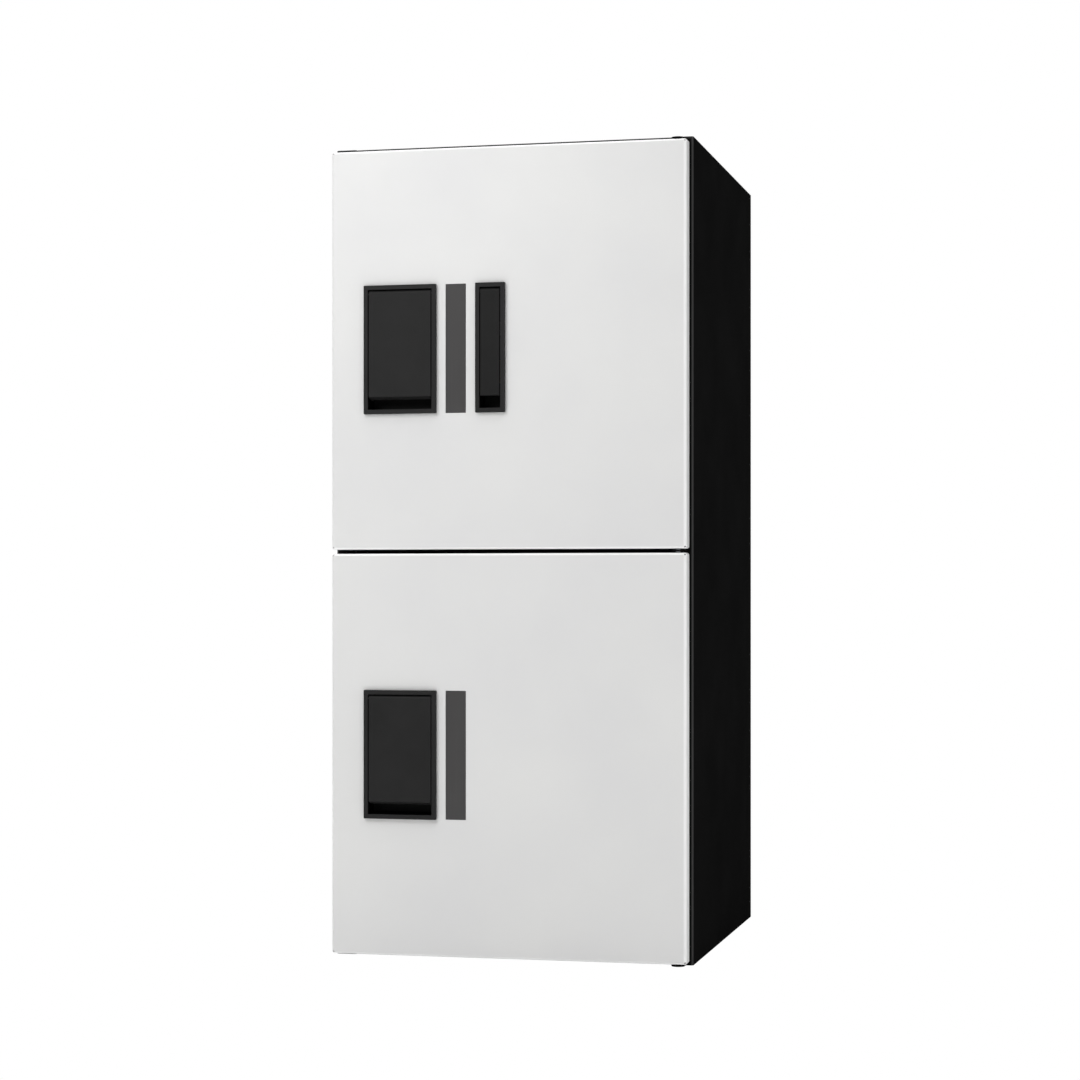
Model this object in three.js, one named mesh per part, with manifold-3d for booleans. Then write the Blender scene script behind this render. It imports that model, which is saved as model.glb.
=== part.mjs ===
// A two-door parcel locker: a sheet-steel case with one shelf, and two hinged doors that overlay its front.
// Each door carries a pull handle with a sprung paddle, a smoked status window, and on its inside a motor
// lock under a cover. The upper door also has a narrow service recess with a flap over a key switch.
//
// Millimetres. +Z is up, the doors face -Y, and +X is to the right of someone who stands in front.
// The origin is the centre of the footprint, on the face that the case stands on.
import * as THREE from "three";
import { mergeVertices } from "three/addons/utils/BufferGeometryUtils.js";
import Module from "manifold-3d";

const wasm = await Module();
wasm.setup();

// -----------------------------------------------------------------------------------------------------
// Driving dimensions
// -----------------------------------------------------------------------------------------------------

// Whole locker, from the bezels' front faces to the back panel.
const lockerWidth = 450;
const lockerDepth = 505;
const lockerHeight = 1000;

// Gaps.
const seat = 0.3; // between two fixed pieces that touch on the real locker
const running = 0.15; // radial clearance of a pin in its bore
const slip = 0.4; // between a sliding or swinging piece and what guides it

// Case.
const caseSheet = 1.5;
const caseBend = 2.5; // radius of the middle of the sheet at a fold
const frameWidth = 26; // front flange of the sides, the top and the bottom
const shelfFace = 40; // front flange of the shelf
const frameLip = 24; // return of each front flange into the case
const anchorHoleRadius = 6;
const anchorInset = 60; // of the anchor holes from the case's outer faces

// Doors.
const sideReveal = 3; // case showing beside a door
const topReveal = 7; // case showing above the upper door
const bottomReveal = 4.5; // case showing below the lower door
const doorGap = 5; // between the two doors
const doorThickness = 26;
const doorStandoff = 3; // between a closed door and the case
const skinSheet = 1.2;
const skinReturn = 18; // depth of the white skin's edges
const skinBend = 3;
const panelSheet = 1;
const panelRimGap = 1.8; // between the inner panel's rim and the back of the skin
const panelInset = 2.5; // of the inner panel's edges from the skin's
const sealInset = 8; // of the seal's outer edge from the inner panel's edge
const sealWidth = 6;

// Hinges: pins in tongues that reach out over the doors' ends.
const hingeFromSide = 12; // of the hinge axis from the skin's side face
const hingeFromFront = 9; // of the hinge axis from the skin's front face
const hingePinRadius = 3;
const hingePinGrip = 9; // length of pin inside a door
const tongueThickness = 2;
const tongueGap = 0.7; // between a tongue and a door's end
const tongueWidth = 16;
const bracketLeg = 30;
const bushRadius = 5;
const bushFlangeRadius = 7;
const bushFlange = 1.5;
const bushLength = 10;

// Handle and service recesses, in the front of a door.
const bezelHeight = 158;
const bezelProud = 5; // of the bezels above the skin
const bezelRim = 5.4;
const leafGap = 0.9; // round the paddle and the flap
const handleWidth = 92;
const handleFromLatchSide = 88.3; // of the handle's centre line from the skin's latch-side face
const serviceWidth = 37;
const recessWall = 2.2;
const recessClearance = 0.8; // between a recess and the inner panel
const fingerGap = 11.4; // mouth under the paddle
const flapGap = 15; // mouth under the flap
const leafThickness = 3; // of the paddle and of the flap
const leafRecess = 0.5; // of the leaves below the bezels' front faces
const barrelRadius = 4;
const leafPinRadius = 1.5;
const gripBend = 1.6; // radius of the fold above the paddle's lip
const gripReach = 9; // of the lip towards the back
const gripDrop = 4.2; // of the lip over that reach
const springWire = 0.9;
const springTurns = 5;
const springPitch = 1.5;

// Status window.
const windowWidth = 25;
const windowHeight = 157;
const windowFromHandle = 11.5; // between the handle's bezel and the window
const windowToService = 13; // between the window and the service bezel
const windowRebate = 2.5;
const windowFlange = 1.5;
const boardThickness = 1.6;
const boardHeight = 153;
const processor = { width: 12, height: 12, depth: 1.4, above: 10 }; // above the window's centre
const connector = { width: 18, height: 8, depth: 5, above: -60 };

// Lock and its cover, on the inside of a door.
const coverWidth = 199;
const coverHeight = 160;
const coverDepth = 34;
const coverWall = 2;
const coverClearance = 6; // between the cover and the case's latch-side lip
const boltLength = 61.5;
const boltThickness = 8;
const boltHeight = 20;
const boltThrow = 14;
const boltFromPanel = 10; // of the bolt's front face from the inner panel
const boltProud = 0.5; // of the drawn-back bolt beyond the cover
const strikeThickness = 2;
const gearModule = 1;
const pinionTeeth = 12;
const rackTeeth = 9;
const rackAddendum = 0.7; // low enough not to undercut a small pinion
const pinionFace = 10;
const pinionFromBoltTip = 28.5;
const toothPlay = 0.16; // backlash, taken off each flank
const motorWidth = 12;
const motorDepth = 10;
const motorLength = 34;
const motorShaftRadius = 1.5;
const lockPlate = 2;
const cellRadius = 7.2;
const cellLength = 50.5;
const cellCount = 4;
const cellHolder = { thickness: 3.3, besideCells: 1.5, beyondCells: 3, overlap: 1 };
const lidMargin = 6; // of the battery lid around the cells

// Key switch, emergency contacts, magnetic catches.
const keyHeadRadius = 10.5;
const keyBodyRadius = 8.5;
const keyPlugRadius = 6;
const keyAboveCentre = 25;
const keyHeadLength = 11.5;
const keyBodyLength = 24;
const keySlotWidth = 2;
const keySlotHeight = 8;
const keySlotDepth = 9;
const keyCamLength = 18;
const keyCamWidth = 8;
const contactBlock = { width: 18, height: 28, depth: 8, below: 28, padRadius: 4, padProud: 1 };
const magnetBlock = { width: 40, depth: 23.4, height: 11.7, fromLip: 9 };

// -----------------------------------------------------------------------------------------------------
// Places worked out from them
// -----------------------------------------------------------------------------------------------------

const caseHalf = lockerWidth / 2;
const bezelFront = -lockerDepth / 2;
const doorFront = bezelFront + bezelProud;
const panelBack = doorFront + doorThickness;
const caseFront = panelBack + doorStandoff;
const caseBack = lockerDepth / 2;
const mouthHalf = caseHalf - frameWidth; // half of the clear width between the side flanges
const innerHalf = caseHalf - caseSheet - seat; // half-width of what fits between the sides
const endPlane = caseSheet + seat; // of the side flanges from the case's ends
const shelfMiddle = lockerHeight / 2;
const skinHalf = caseHalf - sideReveal;
const skinBack = doorFront + skinReturn;
const skinInner = doorFront + skinSheet;
const panelHalf = skinHalf - panelInset;
const panelInner = panelBack - panelSheet;
const panelFront = skinInner + panelRimGap;
const hingeX = skinHalf - hingeFromSide;
const hingeY = doorFront + hingeFromFront;
const handleX = -skinHalf + handleFromLatchSide;
const windowX = handleX + handleWidth / 2 + windowFromHandle + windowWidth / 2;
const serviceX = windowX + windowWidth / 2 + windowToService + serviceWidth / 2;
const recessFloor = panelInner - recessClearance - recessWall;
const leafFront = bezelFront + leafRecess;
const leafPivotY = leafFront + barrelRadius;
const leafPivotAbove = bezelHeight / 2 - bezelRim - leafGap - barrelRadius; // above the door's centre
const coverLeft = -mouthHalf + coverClearance;
const coverFront = panelBack + seat;
const coverBack = panelBack + coverDepth;
const boltTip = coverLeft - boltProud;
const boltFront = panelBack + boltFromPanel;
const boltBack = boltFront + boltThickness;
const pitchRadius = (gearModule * pinionTeeth) / 2;
const pinionX = boltTip + pinionFromBoltTip;
const pinionY = boltBack - rackAddendum + pitchRadius;

const doors = [
  { name: "upper", bottom: shelfMiddle + doorGap / 2, top: lockerHeight - topReveal, serviced: true },
  { name: "lower", bottom: bottomReveal, top: shelfMiddle - doorGap / 2, serviced: false },
].map((door) => ({ ...door, middle: (door.bottom + door.top) / 2 }));

// -----------------------------------------------------------------------------------------------------
// Materials
// -----------------------------------------------------------------------------------------------------

const finish = (color, roughness, metalness) =>
  new THREE.MeshStandardMaterial({ color, roughness, metalness });
const materials = {
  caseCoat: finish(0x161616, 0.5, 0.1),
  doorCoat: finish(0xe6e6e6, 0.4, 0.1),
  innerCoat: finish(0x1c1c1c, 0.55, 0.1),
  handlePlastic: finish(0x2e2e2e, 0.5, 0),
  paddlePlastic: finish(0x303030, 0.45, 0),
  smokedAcrylic: finish(0x4e4d4d, 0.15, 0),
  coverPlastic: finish(0x3a3a3c, 0.6, 0),
  rubber: finish(0x111111, 0.9, 0),
  zincSteel: finish(0xb8bcc0, 0.35, 1),
  springSteel: finish(0x9a9ca0, 0.3, 1),
  brass: finish(0xb89b5e, 0.35, 1),
  nylon: finish(0xe8e6df, 0.5, 0),
  circuitBoard: finish(0x14402a, 0.5, 0),
  magnetHolder: finish(0x202020, 0.6, 0),
  cellWrap: finish(0x6e6f72, 0.4, 0.2),
};

// -----------------------------------------------------------------------------------------------------
// Solids
// -----------------------------------------------------------------------------------------------------

// A closed geometry as a solid that can be cut and joined.
function solidOf(geometry) {
  const bare = geometry.index ? geometry.toNonIndexed() : geometry;
  bare.deleteAttribute("normal");
  bare.deleteAttribute("uv");
  const merged = mergeVertices(bare, 1e-4);
  return new wasm.Manifold(
    new wasm.Mesh({
      numProp: 3,
      vertProperties: new Float32Array(merged.attributes.position.array),
      triVerts: new Uint32Array(merged.index.array),
    }),
  );
}

// A solid as a geometry, for a mesh.
function geometryOf(solid) {
  const mesh = solid.getMesh();
  return new THREE.BufferGeometry()
    .setAttribute("position", new THREE.BufferAttribute(new Float32Array(mesh.vertProperties), 3))
    .setIndex(new THREE.BufferAttribute(new Uint32Array(mesh.triVerts), 1));
}

const join = (...solids) => solids.reduce((whole, next) => whole.add(next));
const cut = (solid, ...tools) => tools.reduce((left, tool) => left.subtract(tool), solid);

// A box from its spans along X, Y and Z.
function box([x0, x1], [y0, y1], [z0, z1]) {
  return solidOf(
    new THREE.BoxGeometry(x1 - x0, y1 - y0, z1 - z0).translate((x0 + x1) / 2, (y0 + y1) / 2, (z0 + z1) / 2),
  );
}

// Which row axes a drawing's own x and y run along, and which axis it is pushed out along.
const planes = {
  z: new THREE.Matrix4(), // a plan, x and y, pushed up
  x: new THREE.Matrix4().makeBasis(
    new THREE.Vector3(0, 1, 0),
    new THREE.Vector3(0, 0, 1),
    new THREE.Vector3(1, 0, 0),
  ), // a side view, y and z, pushed to the right
  y: new THREE.Matrix4().makeBasis(
    new THREE.Vector3(0, 0, 1),
    new THREE.Vector3(1, 0, 0),
    new THREE.Vector3(0, 1, 0),
  ), // z and x, pushed back
};

// A flat outline pushed out along an axis, over a span of it.
function prism(shape, axis, [from, to], curveSegments = 6) {
  const options = { depth: to - from, bevelEnabled: false, curveSegments };
  const pushed = new THREE.ExtrudeGeometry(shape, options).translate(0, 0, from);
  return solidOf(pushed.applyMatrix4(planes[axis]));
}

// A round bar along an axis. `at` is its centre on the two other axes, in X, Y, Z order.
function bar(axis, radius, [from, to], at, sides = 24) {
  const [u, v] = axis === "y" ? [at[1], at[0]] : at;
  const circle = new THREE.Shape();
  circle.absarc(u, v, radius, 0, 2 * Math.PI);
  return prism(circle, axis, [from, to], sides);
}

const turned = (direction) => new THREE.Vector2(-direction.y, direction.x);

// The outline of a sheet that is folded along `path`, the line of its middle surface.
function foldedOutline(path, thickness, bendRadius, steps = 3) {
  const sides = [[], []];
  const addPair = (point, normal) => {
    sides[0].push(point.clone().addScaledVector(normal, thickness / 2));
    sides[1].push(point.clone().addScaledVector(normal, -thickness / 2));
  };
  const points = path.map(([u, v]) => new THREE.Vector2(u, v));
  points.forEach((corner, i) => {
    if (i === 0 || i === points.length - 1) {
      const [a, b] = i === 0 ? [corner, points[1]] : [points[i - 1], corner];
      addPair(corner, turned(b.clone().sub(a).normalize()));
      return;
    }
    const before = corner.clone().sub(points[i - 1]).normalize();
    const after = points[i + 1].clone().sub(corner).normalize();
    const turn = Math.atan2(before.cross(after), before.dot(after));
    const side = Math.sign(turn);
    const start = corner.clone().addScaledVector(before, -bendRadius * Math.tan(Math.abs(turn) / 2));
    const centre = start.addScaledVector(turned(before), side * bendRadius);
    for (let k = 0; k <= steps; k++) {
      const normal = turned(before).rotateAround(new THREE.Vector2(), (turn * k) / steps);
      addPair(centre.clone().addScaledVector(normal, -side * bendRadius), normal);
    }
  });
  return new THREE.Shape([...sides[0], ...sides[1].reverse()]);
}

// A rectangular tray of sheet: a face at `faceY`, with walls that run to `rimY`.
function tray(half, [z0, z1], faceY, rimY, sheet, edge) {
  const inward = Math.sign(rimY - faceY);
  const corner = new THREE.Shape();
  corner.moveTo(z0 + edge, -half + edge);
  corner.lineTo(z1 - edge, -half + edge);
  corner.lineTo(z1 - edge, half - edge);
  corner.lineTo(z0 + edge, half - edge);
  const depth = Math.abs(rimY - faceY);
  const rounded = new THREE.ExtrudeGeometry(corner, {
    depth,
    bevelThickness: edge,
    bevelSize: edge,
    bevelSegments: 3,
    steps: 1,
  });
  rounded.translate(0, 0, inward > 0 ? faceY + edge : faceY - edge - depth);
  const block = solidOf(rounded.applyMatrix4(planes.y));
  const far = [Math.min(faceY, rimY) - 2 * depth, Math.max(faceY, rimY) + 2 * depth];
  const beyondRim = inward > 0 ? [rimY, far[1]] : [far[0], rimY];
  const hollow = inward > 0 ? [faceY + sheet, far[1]] : [far[0], faceY - sheet];
  const clear = half - sheet;
  return cut(
    block,
    box([-half - edge, half + edge], beyondRim, [z0 - edge, z1 + edge]),
    box([-clear, clear], hollow, [z0 + sheet, z1 - sheet]),
  );
}

// -----------------------------------------------------------------------------------------------------
// The assembly: one named mesh for each piece
// -----------------------------------------------------------------------------------------------------

const locker = new THREE.Group();

function add(name, solid, material) {
  const mesh = new THREE.Mesh(geometryOf(solid), material);
  mesh.name = name;
  locker.add(mesh);
}

// ---- Case -------------------------------------------------------------------------------------------

// The tongue of a hinge bracket: where its underside is.
const tongueBottoms = {
  top: lockerHeight - topReveal + tongueGap,
  middle: shelfMiddle - tongueThickness / 2,
  bottom: endPlane,
};

// The opening of a side flange around a hinge tongue.
function tongueSlot(bottom) {
  const half = tongueWidth / 2 + seat;
  return box(
    [hingeX - half, hingeX + half],
    [caseFront - 1, caseFront + caseSheet + 1],
    [bottom - seat, bottom + tongueThickness + seat],
  );
}

// The hole that a thrown bolt passes through, along X.
function boltHole([x0, x1], middle, clearance) {
  return box(
    [x0, x1],
    [boltFront - clearance, boltBack + clearance],
    [middle - boltHeight / 2 - clearance, middle + boltHeight / 2 + clearance],
  );
}

// A side: outer wall, front flange and lip. `side` is -1 for the latch side and 1 for the hinge side.
function sidePanel(side) {
  const wallX = side * (caseHalf - caseSheet / 2);
  const lipX = side * (mouthHalf + caseSheet / 2);
  const flangeY = caseFront + caseSheet / 2;
  const path = [
    [wallX, caseBack],
    [wallX, flangeY],
    [lipX, flangeY],
    [lipX, caseFront + frameLip],
  ];
  const folded = prism(foldedOutline(path, caseSheet, caseBend), "z", [endPlane, lockerHeight - endPlane]);
  const outer = [side * caseHalf, side * (caseHalf - caseSheet)].sort((a, b) => a - b);
  const wall = box(outer, [caseFront + caseBend + caseSheet, caseBack], [0, lockerHeight]);
  return join(folded, wall);
}

add(
  "left_side_panel",
  cut(
    sidePanel(-1),
    ...doors.map(({ middle }) => boltHole([-mouthHalf - 2 * caseSheet, -mouthHalf + 1], middle, slip)),
  ),
  materials.caseCoat,
);
add(
  "right_side_panel",
  cut(sidePanel(1), ...Object.values(tongueBottoms).map(tongueSlot)),
  materials.caseCoat,
);

// A cross member that spans the case: a plate, with a front flange and lip that fit between the side lips.
// `plateZ` is the plate's outer face and `lipZ` the lip's. The plate is full width from `wideFrom` back.
function crossPanel(plateZ, lipZ, wideFrom) {
  const inward = Math.sign(lipZ - plateZ);
  const plate = [plateZ, plateZ + inward * caseSheet].sort((a, b) => a - b);
  const backEdge = caseBack - caseSheet - seat;
  const path = [
    [caseFront + 2 * frameLip, plateZ + (inward * caseSheet) / 2],
    [caseFront + caseSheet / 2, plateZ + (inward * caseSheet) / 2],
    [caseFront + caseSheet / 2, lipZ - (inward * caseSheet) / 2],
    [caseFront + frameLip, lipZ - (inward * caseSheet) / 2],
  ];
  const face = mouthHalf - seat;
  const flange = prism(foldedOutline(path, caseSheet, caseBend), "x", [-face, face]);
  return join(flange, box([-innerHalf, innerHalf], [wideFrom, backEdge], plate));
}

// Vertical holes through a plate, one in each corner of the footprint.
function anchorHoles([z0, z1]) {
  const across = caseHalf - anchorInset;
  const alongs = [caseFront + anchorInset, caseBack - anchorInset];
  const corners = alongs.flatMap((y) => [-across, across].map((x) => [x, y]));
  return corners.map((corner) => bar("z", anchorHoleRadius, [z0, z1], corner, 16));
}

const shelfTop = shelfMiddle + shelfFace / 2;
const shelfBottom = shelfMiddle - shelfFace / 2;
const behindFold = caseFront + caseSheet + caseBend;
const behindLips = caseFront + frameLip + seat;
const roof = crossPanel(lockerHeight, lockerHeight - frameWidth, behindFold);
const floor = crossPanel(0, frameWidth, behindFold);
add("top_panel", roof, materials.caseCoat);
add("bottom_panel", cut(floor, ...anchorHoles([-1, caseSheet + 1])), materials.caseCoat);
add("middle_shelf", crossPanel(shelfTop, shelfBottom, behindLips), materials.caseCoat);

function backPanel() {
  const plate = box([-innerHalf, innerHalf], [caseBack - caseSheet, caseBack], [0, lockerHeight]);
  const through = [caseBack - caseSheet - 1, caseBack + 1];
  const across = caseHalf - anchorInset;
  const heights = [2 * anchorInset, lockerHeight - anchorInset];
  const corners = heights.flatMap((z) => [-across, across].map((x) => [x, z]));
  return cut(plate, ...corners.map((corner) => bar("y", anchorHoleRadius, through, corner, 16)));
}
add("back_panel", backPanel(), materials.caseCoat);

// A loose floor that covers the anchor bolts, level with the bottom lip.
function floorTray() {
  const wallX = innerHalf - seat - caseSheet / 2;
  const plateZ = frameWidth - caseSheet / 2;
  const path = [
    [endPlane, -wallX],
    [plateZ, -wallX],
    [plateZ, wallX],
    [endPlane, wallX],
  ];
  const span = [caseFront + frameLip + seat, caseBack - caseSheet - 2 * seat];
  return prism(foldedOutline(path, caseSheet, caseBend), "y", span);
}
add("floor_tray", floorTray(), materials.caseCoat);

// A hinge bracket: a tongue over a door's end, and a leg behind the case's flange. `leg` is its span in Z.
function hingeBracket(tongueBottom, leg) {
  const half = tongueWidth / 2;
  const legFront = caseFront + caseSheet + seat;
  const tongue = [tongueBottom, tongueBottom + tongueThickness];
  const through = [tongueBottom - 1, tongueBottom + tongueThickness + 1];
  const plate = box([hingeX - half, hingeX + half], [hingeY, legFront + tongueThickness], tongue);
  const end = bar("z", half, tongue, [hingeX, hingeY]);
  const upright = box([hingeX - half, hingeX + half], [legFront, legFront + tongueThickness], leg);
  return cut(join(plate, end, upright), bar("z", hingePinRadius + running, through, [hingeX, hingeY]));
}
const legs = {
  top: [lockerHeight - endPlane - bracketLeg, lockerHeight - endPlane],
  middle: [shelfMiddle - bracketLeg / 2, shelfMiddle + bracketLeg / 2],
  bottom: [endPlane, endPlane + bracketLeg],
};
const [upperDoor, lowerDoor] = doors;
const pins = {
  top: [upperDoor.top - hingePinGrip, tongueBottoms.top + tongueThickness],
  middle: [lowerDoor.top - hingePinGrip, upperDoor.bottom + hingePinGrip],
  bottom: [tongueBottoms.bottom, lowerDoor.bottom + hingePinGrip],
};
for (const place of ["top", "middle", "bottom"]) {
  const pin = bar("z", hingePinRadius, pins[place], [hingeX, hingeY], 20);
  add(`${place}_hinge_bracket`, hingeBracket(tongueBottoms[place], legs[place]), materials.caseCoat);
  add(`${place}_hinge_pin`, pin, materials.springSteel);
}

for (const { name, middle, top } of doors) {
  const strikeX = -mouthHalf - caseSheet - seat;
  const strike = box(
    [strikeX - strikeThickness, strikeX],
    [caseFront + caseSheet + caseBend, caseFront + frameLip],
    [middle - 1.5 * boltHeight, middle + 1.5 * boltHeight],
  );
  add(
    `${name}_strike_plate`,
    cut(strike, boltHole([strikeX - strikeThickness - 1, strikeX + 1], middle, slip)),
    materials.zincSteel,
  );
  const lipFace = name === "upper" ? lockerHeight - frameWidth : shelfBottom;
  const magnetX = -mouthHalf + magnetBlock.fromLip;
  const magnetY = panelBack + 2 * seat;
  add(
    `${name}_catch_magnet`,
    box(
      [magnetX, magnetX + magnetBlock.width],
      [magnetY, magnetY + magnetBlock.depth],
      [lipFace - seat - magnetBlock.height, lipFace - seat],
    ),
    materials.magnetHolder,
  );
}

// ---- Doors ------------------------------------------------------------------------------------------

// The opening of a skin around a recess body or a window of this size, at the door's mid-height.
function frontOpening(x, width, height, middle) {
  return box(
    [x - width / 2 - seat, x + width / 2 + seat],
    [doorFront - 1, skinInner + 1],
    [middle - height / 2 - seat, middle + height / 2 + seat],
  );
}

const recessWidth = (bezelWidth) => bezelWidth - 2 * bezelRim; // clear width inside a bezel
const bodyWidth = (bezelWidth) => recessWidth(bezelWidth) + 2 * recessWall;
const recessHeight = bezelHeight - 2 * bezelRim;
const bodyHeight = recessHeight + 2 * recessWall;

const bushHole = (z) => bar("z", bushRadius + seat, [z - 6, z + 6], [hingeX, hingeY], 20);

function doorSkin({ bottom, top, middle, serviced }) {
  const openings = [
    frontOpening(handleX, bodyWidth(handleWidth), bodyHeight, middle),
    frontOpening(windowX, windowWidth, windowHeight, middle),
  ];
  if (serviced) openings.push(frontOpening(serviceX, bodyWidth(serviceWidth), bodyHeight, middle));
  return cut(
    tray(skinHalf, [bottom, top], doorFront, skinBack, skinSheet, skinBend),
    ...openings,
    bushHole(top),
    bushHole(bottom),
  );
}

function innerPanel({ bottom, top, middle, serviced }) {
  const panel = tray(
    panelHalf,
    [bottom + panelInset, top - panelInset],
    panelBack,
    panelFront,
    panelSheet,
    panelSheet,
  );
  const holes = [bushHole(top - panelInset), bushHole(bottom + panelInset)];
  if (serviced) {
    const through = [panelInner - 1, panelBack + 1];
    holes.push(bar("y", keyBodyRadius + seat, through, [serviceX, middle + keyAboveCentre]));
  }
  return cut(panel, ...holes);
}

// A flat ring of rubber on the inner panel, all round the mouth.
function doorSeal({ bottom, top }) {
  const span = [panelBack + seat, caseFront - seat];
  const ring = (inset) => {
    const half = panelHalf - inset;
    return [[-half, half], [bottom + panelInset + inset, top - panelInset - inset]];
  };
  const [outerX, outerZ] = ring(sealInset);
  const [innerX, innerZ] = ring(sealInset + sealWidth);
  return cut(box(outerX, span, outerZ), box(innerX, [span[0] - 1, span[1] + 1], innerZ));
}

// A recess: a bezel that stands proud of the skin, and a cup behind it with bores for a leaf's pin.
function recess(x, bezelWidth, middle) {
  const half = recessHeight / 2;
  const bezel = box(
    [x - bezelWidth / 2, x + bezelWidth / 2],
    [bezelFront, doorFront - seat],
    [middle - bezelHeight / 2, middle + bezelHeight / 2],
  );
  const body = box(
    [x - bodyWidth(bezelWidth) / 2, x + bodyWidth(bezelWidth) / 2],
    [bezelFront + 1, recessFloor + recessWall],
    [middle - bodyHeight / 2, middle + bodyHeight / 2],
  );
  const hollow = box(
    [x - recessWidth(bezelWidth) / 2, x + recessWidth(bezelWidth) / 2],
    [bezelFront - 1, recessFloor],
    [middle - half, middle + half],
  );
  const pinHalf = leafPinLength(bezelWidth) / 2 + seat;
  const bores = bar(
    "x",
    leafPinRadius + running,
    [x - pinHalf, x + pinHalf],
    [leafPivotY, middle + leafPivotAbove],
    16,
  );
  return cut(join(bezel, body), hollow, bores);
}

const leafPinLength = (bezelWidth) => recessWidth(bezelWidth) + recessWall;

function leafPin(x, bezelWidth, middle) {
  const half = leafPinLength(bezelWidth) / 2;
  return bar("x", leafPinRadius, [x - half, x + half], [leafPivotY, middle + leafPivotAbove], 16);
}

// A leaf: a flat plate that hangs from a barrel round its pin, down to `foot`. Its front is flush with the
// barrel's.
function leaf(x, bezelWidth, middle, foot) {
  const half = recessWidth(bezelWidth) / 2 - leafGap;
  const pivotZ = middle + leafPivotAbove;
  const plate = box([x - half, x + half], [leafFront, leafFront + leafThickness], [foot, pivotZ]);
  const barrel = bar("x", barrelRadius, [x - half, x + half], [leafPivotY, pivotZ]);
  const bore = bar("x", leafPinRadius + running, [x - half - 1, x + half + 1], [leafPivotY, pivotZ], 16);
  return cut(join(plate, barrel), bore);
}

const springLength = springTurns * springPitch;
const springRoom = springLength / 2 + springWire + slip;

// How far above a door's centre a recess's opening ends at its foot.
const recessFoot = -bezelHeight / 2 + bezelRim;

// The handle's paddle: a leaf that ends in a lip, which slopes down and back, with a pocket in its barrel for
// the spring. The lip is drawn by the middle of its thickness.
function paddle({ middle }) {
  const half = recessWidth(handleWidth) / 2 - leafGap;
  const pivotZ = middle + leafPivotAbove;
  const foot = middle + recessFoot + fingerGap;
  const plateFoot = foot + gripDrop + leafThickness;
  const slope = Math.atan(gripDrop / gripReach);
  const middleAt = (inwards) => {
    const below = inwards * Math.tan(slope) - leafThickness / 2 / Math.cos(slope);
    return [leafFront + inwards, foot + gripDrop - below];
  };
  const lipLine = [
    [leafFront + leafThickness / 2, plateFoot + 1],
    middleAt(leafThickness / 2),
    middleAt(gripReach - (leafThickness / 2) * Math.sin(slope)),
  ];
  const lip = foldedOutline(lipLine, leafThickness, gripBend, 6);
  const grip = prism(lip, "x", [handleX - half, handleX + half]);
  const room = [handleX - springRoom, handleX + springRoom];
  const beyond = barrelRadius + 1;
  const pocket = join(
    bar("x", barrelRadius - springWire, room, [leafPivotY, pivotZ]),
    box(room, [leafPivotY, leafPivotY + beyond], [pivotZ - beyond, pivotZ + beyond]),
  );
  return cut(join(leaf(handleX, handleWidth, middle, plateFoot), grip), pocket);
}

// The paddle's return spring, wound round its pin.
function paddleSpring({ middle }) {
  const wireRadius = springWire / 2;
  const coilRadius = leafPinRadius + running + wireRadius + slip / 2;
  const coil = new THREE.Curve();
  coil.getPoint = (t, target = new THREE.Vector3()) => {
    const angle = 2 * Math.PI * springTurns * t;
    return target.set(
      handleX + springLength * (t - 0.5),
      leafPivotY + coilRadius * Math.cos(angle),
      middle + leafPivotAbove + coilRadius * Math.sin(angle),
    );
  };
  const wire = new THREE.Shape();
  wire.absarc(0, 0, wireRadius, 0, 2 * Math.PI);
  const options = { extrudePath: coil, steps: springTurns * 12, curveSegments: 3, bevelEnabled: false };
  return solidOf(new THREE.ExtrudeGeometry(wire, options));
}

// A smoked window, flush with the skin, with a flange behind it.
function statusWindow({ middle }) {
  const pane = (margin, span) =>
    box(
      [windowX - windowWidth / 2 - margin, windowX + windowWidth / 2 + margin],
      span,
      [middle - windowHeight / 2 - margin, middle + windowHeight / 2 + margin],
    );
  const back = skinInner + seat + windowFlange;
  return join(pane(0, [doorFront, back]), pane(windowRebate, [skinInner + seat, back]));
}

const boardFront = skinInner + 2 * seat + windowFlange;

// The board behind the window: touch pads and lamps in front, its processor and a connector behind.
function controlBoard({ middle }) {
  const back = boardFront + boardThickness;
  const onBoard = ({ width, height, above }, span) =>
    box([windowX - width / 2, windowX + width / 2], span, [middle + above, middle + above + height]);
  return join(
    onBoard({ width: windowWidth, height: boardHeight, above: -boardHeight / 2 }, [boardFront, back]),
    onBoard(processor, [back - 0.2, back + processor.depth]),
    onBoard(connector, [back - 0.2, back + connector.depth]),
  );
}

// ---- Lock -------------------------------------------------------------------------------------------

// The bolt: a bar with a rack in its back face. The tooth spaces are straight-sided, at the pressure angle.
function lockBolt({ middle }) {
  const pitch = Math.PI * gearModule;
  const slope = Math.tan(Math.PI / 9);
  const pitchLine = boltBack - rackAddendum;
  const root = pitchLine - 1.3 * gearModule;
  const beyond = boltBack + 0.5;
  const tools = [];
  for (let k = 0; k < rackTeeth; k++) {
    const x = pinionX + (k - 2) * pitch;
    const widthAt = (y) => pitch / 4 + toothPlay + (y - pitchLine) * slope;
    const space = new THREE.Shape([
      new THREE.Vector2(x - widthAt(root), root),
      new THREE.Vector2(x + widthAt(root), root),
      new THREE.Vector2(x + widthAt(beyond), beyond),
      new THREE.Vector2(x - widthAt(beyond), beyond),
    ]);
    const faceHalf = pinionFace / 2 + 1;
    tools.push(prism(space, "z", [middle - faceHalf, middle + faceHalf]));
  }
  const half = boltHeight / 2;
  const blank = box([boltTip, boltTip + boltLength], [boltFront, boltBack], [middle - half, middle + half]);
  return cut(blank, ...tools);
}

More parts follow.
